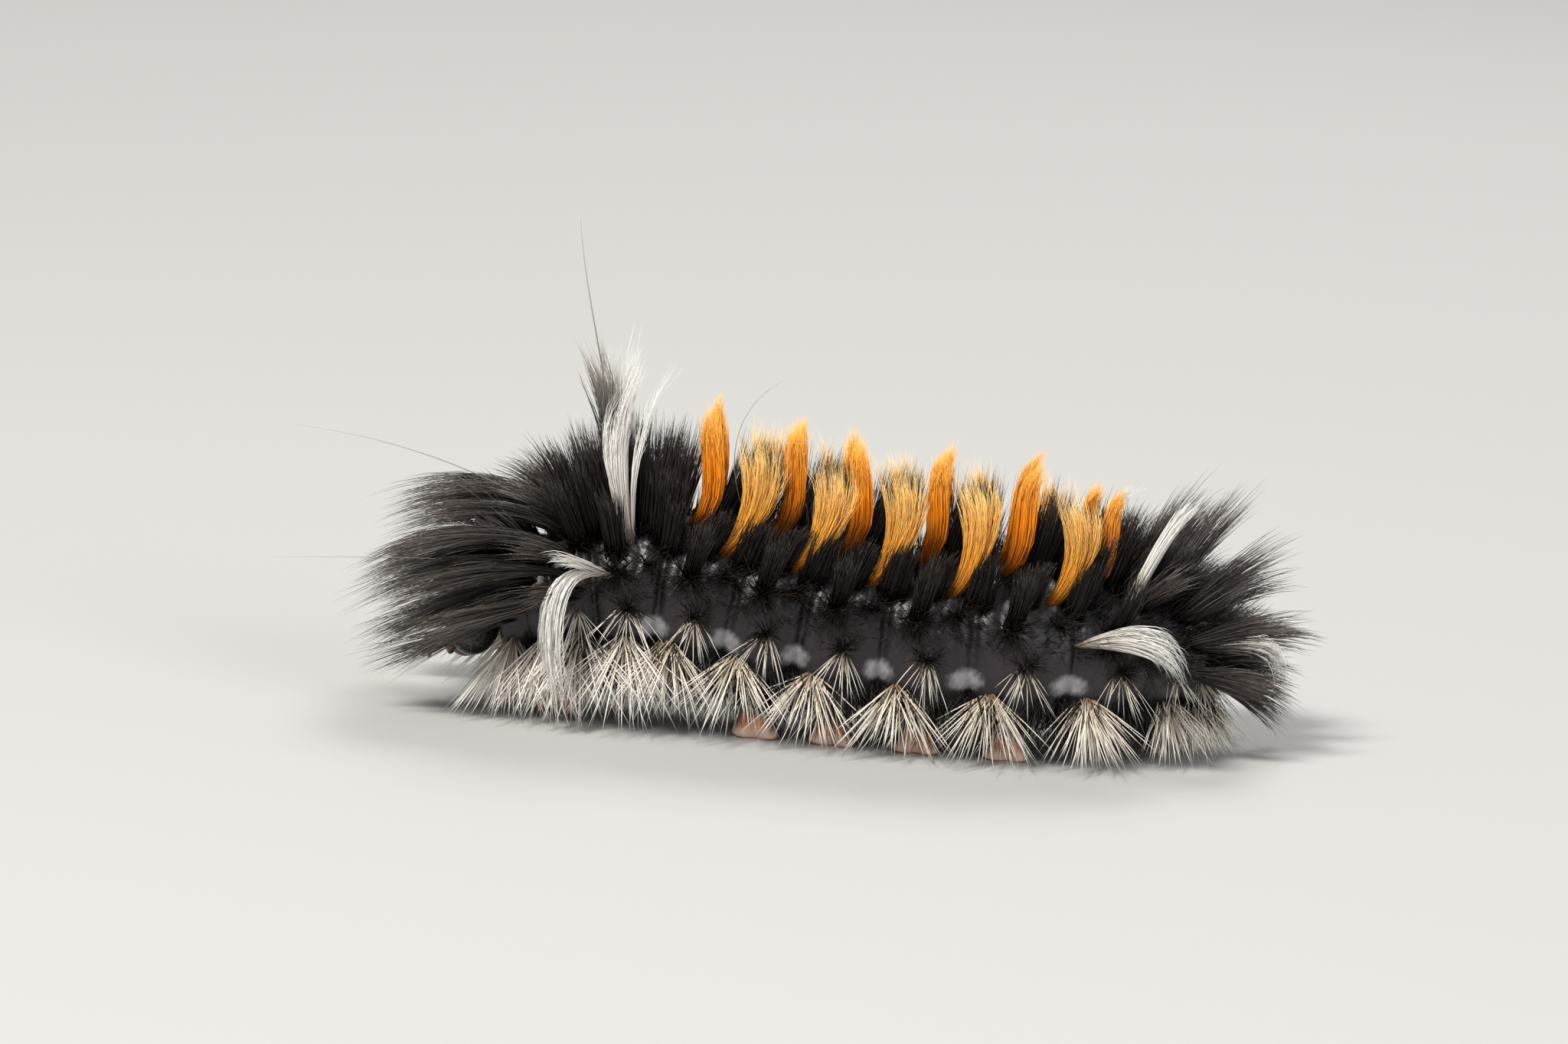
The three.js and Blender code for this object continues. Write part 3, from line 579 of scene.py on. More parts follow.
@dataclass
class Skin:
    """The one skin of the whole body with its fleshy legs: folds, wrinkles, warts and feet.

    Angles round the body are in degrees from the top of the back. leg_profile holds rings as
    share of the leg's length, size along the body and size across it, wart_profile rings as
    share of the radius and height, and wart_rows place, angle and radius. proleg and
    anal_proleg are a fleshy leg's size, how far its sole stands aside, and its angle.
    """

    around: int = 120
    along_step: float = 0.09
    voxel: float = 0.088
    smoothing: int = 3
    crease_width: float = 0.05
    pleats: tuple[tuple[float, float], ...] = ((0.3, 0.0605), (0.62, 0.055), (0.84, 0.0385))
    pleat_width: float = 0.035
    pleat_sway: float = 0.05
    plain_front: float = 0.6
    plain_rear: float = 1.2
    wrinkle_height: float = 0.025
    bulge: float = 0.14
    bulge_angle: float = 122
    bulge_width: float = 17
    proleg_segments: tuple[int, ...] = (5, 6, 7, 8)
    proleg: Point = (0.98, 1.5, 152)
    anal_proleg: Point = (0.84, 1.15, 142)
    leg_profile: tuple[Point, ...] = (
        (0, 1.0, 0.9), (0.22, 0.98, 0.86), (0.42, 0.86, 0.76), (0.56, 0.74, 0.66),
        (0.66, 0.64, 0.58), (0.75, 0.64, 0.56), (0.82, 0.78, 0.6), (0.88, 0.96, 0.68),
        (0.94, 1.02, 0.72), (0.98, 0.96, 0.66), (1.0, 0.78, 0.48))
    leg_sunk: float = 0.75
    cleft_depth: float = 0.62
    cleft_span: tuple[float, float] = (0.76, 0.92)
    cleft_width: float = 22
    wart_profile: tuple[tuple[float, float], ...] = (
        (1.3, -0.35), (1.1, -0.02), (0.9, 0.08), (0.6, 0.14), (0.25, 0.17))
    wart_rows: tuple[Point, ...] = (
        (0.4, 13, 0.32), (0.76, 42, 0.32), (0.35, 67, 0.3), (0.52, 94, 0.24), (0.22, 119, 0.32))
    end_wart_scale: float = 0.85
    dark: Colour = (0.009, 0.007, 0.009)
    # painted highlight in the skin's own plum tone, laid on the flank of each segment
    plum_highlight: Colour = (0.036, 0.021, 0.031)
    ash: Colour = (0.33, 0.31, 0.33)
    foot: Colour = (0.85, 0.36, 0.2)
    sole: Colour = (0.95, 0.66, 0.52)
    # where the painted highlight lies and how wide it is: share of the segment and degrees round
    # the body
    highlight_middle: tuple[float, float] = (0.4, 90)
    highlight_size: tuple[float, float] = (0.2, 24)
    patch_ahead: float = 0.15
    patch_angle: float = 107
    patch_size: tuple[float, float] = (0.6, 9)
    patch_edge: tuple[float, float] = (-1.6, 0.3)
    foot_height: tuple[float, float] = (0.75, 1.45)
    sole_height: tuple[float, float] = (0.3, 0.7)

    def trunk(self) -> Solid:
        """The trunk as a fine loft with creases, small wrinkles and a swelling along the side."""
        s = np.append(np.arange(0.0, BODY.length, self.along_step), BODY.length)
        angle = np.linspace(0, 360, self.around, endpoint=False)
        grid_s, grid_a = np.meshgrid(s, angle, indexing="ij")
        turn = np.radians(grid_a)
        _, u = BODY.segment(grid_s)
        fold = np.minimum(u, 1 - u) / self.crease_width
        lift = -BODY.crease_depth * np.exp(-(fold ** 2))
        for place, depth in self.pleats:
            wave = place + self.pleat_sway * np.sin(3 * turn + grid_s)
            lift -= depth * np.exp(-(((u - wave) / self.pleat_width) ** 2))
        lift[(grid_s < self.plain_front) | (grid_s > BODY.length - self.plain_rear)] = 0
        lift += self.wrinkle_height * (
            np.sin(grid_s * 9.1 + 2.3 * np.sin(turn * 4)) * np.sin(turn * 11 + grid_s * 2.2)
            + 0.6 * np.sin(grid_s * 17.0 + turn * 7) * np.sin(turn * 17 - grid_s * 3))
        round_ = np.abs((grid_a + 180) % 360 - 180)
        low_side = np.exp(-(((round_ - self.bulge_angle) / self.bulge_width) ** 2))
        lift += self.bulge * low_side * np.sin(np.pi * u) ** 0.6
        return closed_loft(BODY.skin(grid_s, grid_a, lift))

    def fleshy_leg(self, s: float, side: Side, size: float, aside: float, angle: float) -> Solid:
        """One fleshy leg with a broad foot.

        Args:
            s: The leg's distance behind the neck.
            side: The side that it grows on.
            size: Its size, as a share of the largest.
            aside: How far its sole stands from the middle of the body.
            angle: Where it grows, in degrees from the top of the back.

        Returns:
            The leg's points and triangles.
        """
        back, left, _ = (axis[0] for axis in BODY.axes(np.array([s])))
        back = unit(back * [1, 1, 0])
        across = np.array([-back[1], back[0], 0])
        root = BODY.skin(np.array([s]), np.array([angle * side.value]))[0] + [0, 0, self.leg_sunk]
        sole = BODY.centre(np.array([s]))[0] * [1, 1, 0] + left * aside * side.value
        turn = circle(48)
        outer = np.degrees(turn) - (180 + 90 * side.value)
        notch = self.cleft_depth * np.exp(-(outer / self.cleft_width) ** 2)
        rings = []
        for share, along, deep in self.leg_profile:
            cleft = 1 - notch * smooth(np.array([share]), *self.cleft_span)[0]
            rings.append(root + (sole - root) * share
                         + np.outer(np.cos(turn) * along * size, back)
                         + np.outer(np.sin(turn) * deep * size * cleft, across))
        return closed_loft(np.array(rings))

    def wart(self, segment: int, place: float, angle: float, radius: float) -> Solid:
        """A low dome on the skin of a segment, at a share of its length."""
        s = np.array([BODY.starts[segment] + BODY.lengths[segment] * place])
        back, _, _ = (axis[0] for axis in BODY.axes(s))
        root = BODY.skin(s, np.array([angle]))[0]
        out = unit(root - BODY.centre(s)[0])
        turn = circle(20)
        ring = np.outer(np.cos(turn), back) + np.outer(np.sin(turn), np.cross(back, out))
        return closed_loft(np.array([
            root + out * height * radius / WART_SCALE + radius * share * ring
            for share, height in self.wart_profile]))

    def warts(self) -> list[Solid]:
        """The domes of every segment; the end segments have only the lower ones."""
        made = []
        for i in range(len(BODY.lengths)):
            for side in Side:
                for place, angle, radius in self.wart_rows:
                    if 3 <= i <= 9:
                        made.append(self.wart(i, place, angle * side.value, radius))
                    elif angle > 40 and i < 12:
                        made.append(self.wart(i, 0.5, angle * side.value,
                                              radius * self.end_wart_scale))
        return made

    def stations(self, points: Array, batch: int = 8000) -> Array:
        """How far behind the neck each point lies."""
        nearest = np.arange(0, BODY.length, 0.1)
        centre = BODY.centre(nearest)
        s = np.empty(len(points))
        for low in range(0, len(points), batch):
            part = points[low:low + batch]
            gap = ((part[:, None, :2] - centre[None, :, :2]) ** 2).sum(-1)
            s[low:low + batch] = nearest[gap.argmin(1)]
        return s

    def colours(self, points: Array) -> Array:
        """The skin's markings at its points, with a painted plum highlight down the middle of
        each segment's flank.

        Args:
            points: Points in millimetres of the body's own frame.

        Returns:
            A linear colour for each point.
        """
        s = self.stations(points)
        _, left, up = BODY.axes(s)
        offset = points - BODY.centre(s)
        round_ = np.abs(np.degrees(np.arctan2((offset * left).sum(1), (offset * up).sum(1))))
        _, u = BODY.segment(s)
        # painted highlight: a plum band down the middle of each segment's flank, darker towards
        # the folds
        tone = np.exp(-((u - self.highlight_middle[0]) / self.highlight_size[0]) ** 2
                      - ((round_ - self.highlight_middle[1]) / self.highlight_size[1]) ** 2)
        colour = np.array(self.dark) + np.outer(tone, np.array(self.plum_highlight) - self.dark)
        folds = BODY.starts[None, 4:10] - self.patch_ahead
        fold = np.abs(s[:, None] - folds).min(axis=1)
        ragged = 0.22 * np.sin(points[:, 0] * 4.3 + points[:, 2] * 2.0) * np.sin(s * 3.7)
        ragged += 0.2 * np.sin(round_ * 0.7 + s * 9) * np.sin(s * 13 + 1)
        patch = smooth(-((round_ - self.patch_angle) / self.patch_size[1]) ** 2
                       - (fold / self.patch_size[0]) ** 2 + ragged, *self.patch_edge)
        colour += np.outer(np.clip(patch * 1.25, 0, 1), np.array(self.ash) - self.dark)
        for (low, high), tint in ((self.foot_height, self.foot), (self.sole_height, self.sole)):
            colour = blend(colour, smooth(-points[:, 2], -high, -low), tint)
        return np.clip(colour, 0, 1)

    def build(self) -> bpy.types.Object:
        """Joins trunk, legs and warts into one skin and paints it."""
        parts = [self.trunk()]
        for side in Side:
            for i in self.proleg_segments:
                parts.append(self.fleshy_leg(BODY.middles[i], side, *self.proleg))
            parts.append(self.fleshy_leg(BODY.middles[-1], side, *self.anal_proleg))
        mesh = mesh_from("skin", *join(parts + self.warts()))
        replaced = tuple(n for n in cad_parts
                         if n.startswith(("thorax_", "abdomen_", "proleg_", "anal_proleg_")))
        piece = new_object("skin", mesh, replaced)
        points = fuse(piece, self.voxel, self.smoothing)
        paint(piece.data, self.colours(points))
        piece.data.materials.append(ShellFinish(
            "dark_skin", 0.46, coat=0.1, bump=0.00003, wrinkle_share=0.35,
            spot=(0.07, 0.05, 0.07), spot_share=0.08, subsurface=0.12).material())
        return piece


@dataclass(frozen=True)
class Brush:
    """One brush of hairs on a wart, in millimetres of the body's own directions.

    course holds the three points that bend the strands after their root, each as distance to
    the rear, outward and up, and spread how far the strands part from one another there.
    flare is how far the very tips part again, and wave how far each strand swings to and fro.
    """

    place: float
    angle: float
    course: tuple[Point, Point, Point]
    spread: tuple[Point, Point, Point]
    count: int
    root: float = 0.3
    width: float = 0.055
    shortest: float = 0.72
    clumps: int = 7
    pull: float = 0.6
    wander: float = 0.06
    flare: float = 0.0
    wave: float = 0.0
    vary: float = 0.14


@dataclass(frozen=True)
class Star:
    """A wart's hairs that stand out like rays, bending a little.

    axis is the middle direction as rear, outward and up, open_ how far the rays part from it,
    and sag how far each ray's tip bends down for each millimetre of its length.
    """

    place: float
    angle: float
    axis: Point
    open_: Point
    length: float
    count: int
    sag: float = 0.1
    width: float = 0.05
    shortest: float = 0.5
    root: float = 0.22


class CoatPiece:
    """The strands of one colour of hair on one side, gathered and then made one mesh."""

    patch: float = 0.003
    sunk: float = 0.12
    floor: float = 0.12
    lowest: float = 0.04
    hair_patch: tuple[float, float] = (0.3, 0.6)
    width_range: tuple[float, float] = (0.7, 1.2)
    wave_range: tuple[float, float] = (0.4, 1.2)
    clump_reach: float = 1.25
    lean_shape: Point = (1, 1, 0.8)
    brush_root: Point = (1, 1, 0.1)
    star_root: Point = (0.6, 0.6, 0.2)
    star_wander: float = 0.03
    fuzz_drop: float = 0.12
    fuzz_sunk: float = 0.06
    corners: int = 3
    blunt: float = 1.05
    taper: float = 0.55
    swings: float = 1.6
    flare_span: tuple[float, float] = (0.7, 1.15)
    growth: tuple[float, float, float] = (0.15, 0.5, 1.0)

    def __init__(self, name: str, finish: HairFinish, side: Side, rings: int = 6) -> None:
        """Starts an empty piece.

        Args:
            name: The piece's name, without its side.
            finish: The finish of its hair.
            side: The side of the body that it grows on.
            rings: The number of rings of each strand short of its tip.
        """
        self.name, self.finish, self.side, self.rings = name, finish, side, rings
        self.strands: list[tuple[Array, ...]] = []
        self.random = np.random.default_rng(SEED + sum(map(ord, name)) + 7 * side.value)

    def frame_of(self, segment: int, place: float, angle: float
                 ) -> tuple[Array, Array, Array, Array]:
        """A tuft's root, its directions and its patch.

        Args:
            segment: The segment's number, from 0 behind the head.
            place: The share of the segment's length.
            angle: Degrees from the top of the back.

        Returns:
            The root, the rows back, out and up, the way in, and the place on the unwrap.
        """
        side = self.side.value
        s = np.array([BODY.starts[segment] + BODY.lengths[segment] * place])
        back, left, up = (axis[0] for axis in BODY.axes(s))
        root = BODY.skin(s, np.array([angle * side]))[0]
        inward = unit(BODY.centre(s)[0] - root)
        return (root, np.stack([back, left * side, up]), inward,
                self.unwrap(s, np.array([angle * side]))[0])

    @staticmethod
    def unwrap(s: Array, angle: Array) -> Array:
        """Places on the unwrap of the skin: along the body, and round it from the belly."""
        return np.stack([UNWRAP_START + UNWRAP_LENGTH * s / BODY.length,
                         0.5 + UNWRAP_HALF * angle / 180], axis=1)

    def add_strands(self, controls: Array, width: float, ends: Array, unwrap: Array,
                    flare: float = 0.0, wave: float = 0.0) -> None:
        """Adds strands, each on a curve of four points.

        Args:
            controls: The four points of each strand.
            width: The strands' width.
            ends: The share of its curve that each strand follows.
            unwrap: Their place or places on the unwrap.
            flare: How far their tips part.
            wave: How far each swings to and fro.
        """
        random, count = self.random, len(controls)
        controls[:, 1:, 2] = np.maximum(controls[:, 1:, 2], self.floor)
        self.strands.append((controls, width * random.uniform(*self.width_range, count), ends,
                             np.broadcast_to(unwrap, (count, 2)),
                             random.normal(0, 1, (count, 3)) * flare,
                             random.uniform(*self.wave_range, count) * wave))

    def brush(self, segment: int, brush: Brush, scale: float = 1.0) -> None:
        """Grows a brush on a segment.

        Args:
            segment: The segment's number.
            brush: The brush's shape.
            scale: The size of this brush, as a share.
        """
        random, count = self.random, brush.count
        root, axes, inward, unwrap = self.frame_of(segment, brush.place, brush.angle)
        lot = random.normal(0, 0.5, (count, 3))
        lot /= np.maximum(1.0, np.linalg.norm(lot, axis=1, keepdims=True))
        heads = lot[random.choice(count, min(brush.clumps, count), replace=False)]
        heads = heads * self.clump_reach
        owner = ((lot[:, None] - heads[None]) ** 2).sum(-1).argmin(1)
        clumped = heads[owner]
        lean = random.normal(0, brush.vary, 3) * self.lean_shape
        points = [root + (lot * brush.root * self.brush_root) @ axes + inward * self.sunk]
        for bend, spread, grown in zip(brush.course, brush.spread, self.growth):
            share = brush.pull * grown
            offset = (lot * (1 - share) + clumped * share) * np.asarray(spread)
            offset = offset + random.normal(0, brush.wander * grown, (count, 3))
            points.append(root + ((np.asarray(bend) + offset + lean * grown) * scale) @ axes)
        ends = random.uniform(brush.shortest, 1.0, count)
        self.add_strands(np.stack(points, axis=1), brush.width, ends, unwrap, brush.flare,
                         brush.wave)

    def star(self, segment: int, star: Star, scale: float = 1.0) -> None:
        """Grows the rays of a wart on a segment."""
        random, count = self.random, star.count
        root, axes, inward, unwrap = self.frame_of(segment, star.place, star.angle)
        lot = random.uniform(-1, 1, (count, 3))
        heading = unit(np.asarray(star.axis) + lot * np.asarray(star.open_)) @ axes
        length = star.length * scale * random.uniform(star.shortest, 1.0, count)[:, None]
        start = root + (random.normal(0, star.root, (count, 3)) * self.star_root) @ axes
        start = start + inward * self.sunk
        drop = np.array([0, 0, -1.0]) * star.sag * length
        wander = random.normal(0, self.star_wander, (count, 3)) * length
        points = [start, start + heading * length / 3,
                  start + heading * length * 2 / 3 + drop * 0.45 + wander * 0.5,
                  start + heading * length + drop + wander]
        self.add_strands(np.stack(points, axis=1), star.width, np.ones(count), unwrap)

    def spray(self, root: Array, heading: Array, reach: Array, width: float, unwrap: Array,
              drop: float, bend: float = 0.0, sunk: Array | float = 0.0) -> None:
        """Adds short hairs, each on its own root.

        Args:
            root: The hairs' roots.
            heading: Their directions.
            reach: Their lengths, as a column.
            width: Their width.
            unwrap: Their place or places on the unwrap.
            drop: How far each tip sinks for each millimetre of its length.
            bend: The share of that sinking at two thirds of the length.
            sunk: How each start lies from its root.
        """
        sag = np.array([0, 0, -drop]) * reach
        points = [root + sunk, root + heading * reach / 3,
                  root + heading * reach * 0.66 + sag * bend, root + heading * reach + sag]
        self.add_strands(np.stack(points, axis=1), width, np.ones(len(root)), unwrap)

    def fuzz(self, count: int, low: float, high: float, length: float, width: float) -> None:
        """Scatters short hairs over the skin between two angles, leaning to the rear."""
        random = self.random
        s = random.uniform(0.4, BODY.length - 1.0, count)
        angle = random.uniform(low, high, count) * self.side.value
        root = BODY.skin(s, angle)
        back, _, _ = BODY.axes(s)
        out = unit(root - BODY.centre(s))
        heading = unit(out + back * random.uniform(-0.5, 0.9, (count, 1))
                       + random.normal(0, 0.25, (count, 3)))
        reach = length * random.uniform(0.5, 1.0, (count, 1))
        self.spray(root, heading, reach, width, self.unwrap(s, angle), self.fuzz_drop,
                   sunk=-out * self.fuzz_sunk)

    def hair(self, points: list[Point], width: float) -> None:
        """Adds one long hair through four bending points of the body's own frame."""
        self.add_strands(np.array([points], float), width, np.ones(1),
                         np.array(self.hair_patch))

    def build(self) -> bpy.types.Object:
        """Makes every strand a thin closed prism that tapers to a point."""
        controls, widths, ends, places, flares, waves = (
            np.concatenate(part) for part in zip(*self.strands))
        count, rings = len(controls), self.rings
        share = np.linspace(0, 1, rings + 1)[None, :]
        w = (share * ends[:, None])[..., None]
        a, b, c, d = (controls[:, None, k] for k in range(4))
        curve = a * (1 - w)**3 + 3 * b * w * (1 - w)**2 + 3 * c * w**2 * (1 - w) + d * w**3
        slope = unit(3 * (b - a) * (1 - w)**2 + 6 * (c - b) * w * (1 - w)
                     + 3 * (d - c) * w**2 + 1e-7)
        wild = unit(self.random.normal(0, 1, (count, 1, 3)))
        first = unit(wild - (wild * slope).sum(-1, keepdims=True) * slope)
        second = np.cross(slope, first)
        phase = self.random.uniform(0, 2 * math.pi, (count, 1))
        swing = waves[:, None] * share * np.sin(phase + share * 2 * math.pi * self.swings)
        curve = curve + first * swing[..., None]
        curve = curve + flares[:, None] * smooth(share, *self.flare_span)[..., None]
        curve[:, :, 2] = np.maximum(curve[:, :, 2], self.lowest)
        radius = widths[:, None] / 2 * np.clip(self.blunt - share, 0, 1) ** self.taper
        sides, edges = self.corners, []
        for turn in 2 * math.pi * np.arange(sides) / sides:
            ray = first * math.cos(turn) + second * math.sin(turn)
            edges.append(curve[:, :rings] + ray[:, :rings] * radius[:, :rings, None])
        body = np.stack(edges, axis=2).reshape(count, rings * sides, 3)
        points = np.concatenate([body, curve[:, rings:]], axis=1)
        size = rings * sides + 1
        low, tip = (rings - 1) * sides, rings * sides
        cap = [[low + k, low + (k + 1) % sides, tip] for k in range(sides)] + [[0, 2, 1]]
        pattern = np.concatenate([grid_triangles(rings, sides), cap])
        triangles = (pattern[None] + (np.arange(count) * size)[:, None, None]).reshape(-1, 3)
        name = f"{self.name}_{self.side.name.lower()}"
        mesh = mesh_from(name, points.reshape(-1, 3), triangles)
        along = np.concatenate([np.repeat(share[0, :rings], sides), [1.0]])
        along = (along[None] * ends[:, None]).astype(np.float32)
        tone = np.repeat(self.random.random(count).astype(np.float32), size)
        for title, values in (("along", along.ravel()), ("tone", tone)):
            mesh.attributes.new(title, "FLOAT", "POINT").data.foreach_set("value", values)
        spot = self.random.random(count)
        u = np.repeat(places[:, 0] + self.patch * spot, size).reshape(count, size)
        v = places[:, 1][:, None] + self.patch * along
        uv = np.stack([u, v], -1).reshape(-1, 2)[triangles.ravel()]
        layer = mesh.uv_layers.new(name="OFBake")
        layer.data.foreach_set("uv", uv.astype(np.float32).ravel())
        mesh.materials.append(self.finish.material())
        piece = new_object(name, mesh)
        log.info("%s: %d strands, %d triangles", name, count, len(triangles))
        return piece


@dataclass
class Coat:
    """Every tuft, lash, star and single hair of the coat.

    short_style and lash_style are what the brushes of short hair and the dark lashes share.
    """

    short_style: ClassVar[dict[str, float]] = {
        "root": 0.5, "shortest": 0.5, "clumps": 14, "pull": 0.2, "wander": 0.14}
    lash_style: ClassVar[dict[str, float]] = {
        "root": 0.36, "width": 0.05, "shortest": 0.45, "flare": 0.06}
    ring_segments: tuple[int, ...] = (4, 5, 6, 7, 8)
    orange: Brush = Brush(
        0.3, 13, ((1.45, 0.3, 1.3), (-0.1, 0.1, 3.6), (0.05, 0.0, 5.0)),
        ((0.5, 0.3, 0.1), (0.72, 0.28, 0.2), (0.08, 0.1, 0.4)), 240, shortest=0.8, clumps=8,
        pull=0.35, flare=0.22, wave=0.04, vary=0.24)
    golden: Brush = Brush(
        0.74, 42, ((0.95, 0.6, 1.4), (1.3, 0.65, 3.3), (0.35, 0.5, 5.1)),
        ((0.45, 0.32, 0.1), (0.9, 0.4, 0.25), (1.2, 0.5, 0.5)), 290, clumps=18, shortest=0.66,
        pull=0.55, flare=0.1, wave=0.1, vary=0.2)
    black_hair: HairFinish = HairFinish(
        "black_hair", (0.006, 0.005, 0.005), (0.011, 0.008, 0.007), (0.028, 0.018, 0.012),
        roughness=0.42, variation=0.9)
    orange_hair: HairFinish = HairFinish(
        "orange_hair", (0.55, 0.13, 0.004), (0.98, 0.34, 0.008), (0.98, 0.58, 0.1),
        variation=0.4, bend=0.5)
    golden_hair: HairFinish = HairFinish(
        "golden_hair", (0.62, 0.2, 0.008), (0.93, 0.44, 0.05), (0.95, 0.68, 0.26),
        variation=0.5, bend=0.4)
    white_hair: HairFinish = HairFinish(
        "white_hair", (0.45, 0.38, 0.32), (0.9, 0.87, 0.82), (0.92, 0.9, 0.86), variation=0.35)
    fan_hair: HairFinish = HairFinish(
        "white_fan_hair", (0.3, 0.2, 0.13), (0.88, 0.8, 0.69), (0.98, 0.95, 0.9),
        variation=0.4, bend=0.25)
    lash_hair: HairFinish = HairFinish(
        "dark_lash_hair", (0.016, 0.012, 0.01), (0.042, 0.034, 0.029), (0.13, 0.105, 0.09),
        roughness=0.3, specular=0.6, variation=1.3)
    rear_hair: HairFinish = HairFinish(
        "rear_lash_hair", (0.016, 0.012, 0.01), (0.045, 0.035, 0.03), (0.19, 0.15, 0.13),
        roughness=0.36, variation=1.2)
    face_hair: HairFinish = HairFinish(
        "fine_pale_hair", (0.12, 0.08, 0.05), (0.4, 0.33, 0.26), (0.6, 0.52, 0.42),
        variation=0.6)
    pale_hair: HairFinish = HairFinish(
        "pale_hair", (0.2, 0.11, 0.055), (0.8, 0.7, 0.56), (0.98, 0.95, 0.89),
        variation=0.4, bend=0.3)
    grey_hair: HairFinish = HairFinish(
        "grey_lash_hair", (0.012, 0.009, 0.008), (0.07, 0.06, 0.055), (0.5, 0.46, 0.4),
        roughness=0.36, variation=1.0, bend=0.55)
    long_hair: HairFinish = HairFinish(
        "long_hair", (0.03, 0.02, 0.015), (0.3, 0.26, 0.2), (0.6, 0.55, 0.45), variation=0.2)

    def black_brushes(self, side: Side) -> CoatPiece:
        """The black velvet between the bright tufts."""
        piece = CoatPiece("coat_black_brushes", self.black_hair, side, rings=4)
        spread = ((0.5, 0.4, 0.1), (0.75, 0.5, 0.25), (0.85, 0.55, 0.5))
        for i in self.ring_segments:
            for place, angle, lean, reach in (
                    (0.05, 5, 0.3, 4.4), (0.03, 20, 0.1, 3.8), (0.03, 36, 0.0, 2.9),
                    (0.64, 8, 0.75, 4.1), (0.5, 48, 0.6, 1.7), (0.97, 18, 0.6, 4.0),
                    (0.06, 50, 0.2, 2.4), (0.95, 52, 0.6, 2.4)):
                course = ((lean * 0.4, 0.35, 1.2), (lean * 0.9, 0.3, 2.6), (lean, 0.25, reach))
                piece.brush(i, Brush(place, angle, course, spread, 100, root=0.5,
                                     shortest=0.55, clumps=12, pull=0.3, wander=0.13))
        return piece

    def fore_brushes(self, side: Side) -> CoatPiece:
        """The bristly black brushes round the long upright lashes, front and rear."""
        piece = CoatPiece("coat_bristle_brushes", self.black_hair, side, rings=4)
        spread = ((0.4, 0.4, 0.1), (0.65, 0.55, 0.25), (0.95, 0.7, 0.6))
        for i, place, angle, lean, reach in (
                (3, 0.1, 12, -0.8, 4.4), (3, 0.08, 36, -0.8, 4.2), (3, 0.32, 30, -0.5, 4.4),
                (3, 0.3, 8, -0.3, 4.4), (3, 0.55, 14, -0.1, 4.6), (3, 0.72, 30, 0.0, 4.4),
                (3, 0.86, 12, 0.1, 4.6), (3, 0.9, 40, 0.1, 3.8), (3, 0.35, 56, -0.4, 3.2),
                (2, 0.8, 16, -0.9, 3.8), (2, 0.8, 44, -0.9, 3.4), (9, 0.08, 14, 0.4, 3.6),
                (9, 0.1, 40, 0.4, 3.2), (9, 0.55, 14, 0.7, 3.8), (9, 0.85, 36, 0.9, 3.6),
                (9, 0.9, 12, 1.0, 3.6), (10, 0.2, 30, 1.0, 3.2)):
            course = ((lean * 0.3, 0.4, 1.5), (lean * 0.7, 0.45, 3.0), (lean, 0.35, reach))
            piece.brush(i, Brush(place, angle, course, spread, 110, root=0.5, shortest=0.55,
                                 clumps=14, pull=0.3, wander=0.15, flare=0.05))
        return piece

    def orange_tufts(self, side: Side) -> CoatPiece:
        """The narrow orange tufts beside the middle of the back."""
        piece = CoatPiece("coat_orange_tufts", self.orange_hair, side, rings=6)
        for i, lean in ((4, 0.0), (5, 0.1), (6, 0.1), (7, 0.6), (8, 1.1), (9, 1.0)):
            course = (*self.orange.course[:2], tuple(np.add(self.orange.course[2], (lean, 0, 0))))
            piece.brush(i, replace(self.orange, course=course), 0.86 if i == 9 else 1.0)
        return piece

    def golden_tufts(self, side: Side) -> CoatPiece:
        """The wide golden tufts outside the orange ones."""
        piece = CoatPiece("coat_golden_tufts", self.golden_hair, side, rings=6)
        for i in self.ring_segments:
            piece.brush(i, self.golden)
        return piece

    def white_lashes(self, side: Side) -> CoatPiece:
        """The long white lashes of the first and seventh rings of the abdomen."""
        piece = CoatPiece("coat_white_lashes", self.white_hair, side, rings=8)
        upright = Brush(0.52, 43, ((-0.5, 0.55, 2.6), (-1.25, 0.4, 5.0), (0.1, 0.2, 7.7)),
                        ((0.5, 0.3, 0.1), (1.25, 0.5, 0.5), (1.3, 0.5, 1.3)), 270,
                        root=0.2, shortest=0.46, clumps=8, pull=0.85, wander=0.06,
                        flare=0.16, wave=0.06)
        aside = Brush(0.3, 71, ((-2.6, 2.2, 1.5), (-3.1, 3.0, -1.4), (-2.3, 2.2, -5.7)),
                      ((0.5, 0.3, 0.4), (0.62, 0.4, 0.5), (0.3, 0.25, 0.6)), 240,
                      root=0.22, shortest=0.5, clumps=8, pull=0.55, flare=0.06, wave=0.04)
        flick = Brush(0.3, 71, ((-1.4, 1.5, 0.9), (-2.2, 2.2, 1.2), (-2.9, 2.6, 0.9)),
                      ((0.3, 0.25, 0.3), (0.4, 0.3, 0.4), (0.5, 0.3, 0.55)), 60,
                      root=0.2, shortest=0.5, clumps=6, pull=0.5, flare=0.12)
        rear_up = Brush(0.62, 40, ((0.4, 0.5, 1.9), (0.9, 0.4, 3.9), (2.4, 0.2, 4.9)),
                        ((0.3, 0.26, 0.1), (0.42, 0.32, 0.25), (0.5, 0.4, 0.45)), 170,
                        root=0.22, clumps=6, pull=0.6, flare=0.1)
        rear_side = Brush(0.03, 74, ((1.3, 1.6, 0.9), (3.3, 2.1, 1.0), (4.3, 1.5, -1.3)),
                          ((0.5, 0.26, 0.7), (0.75, 0.4, 1.1), (0.7, 0.4, 1.0)), 230,
                          root=0.22, shortest=0.5, clumps=9, pull=0.6, flare=0.16, wave=0.06)
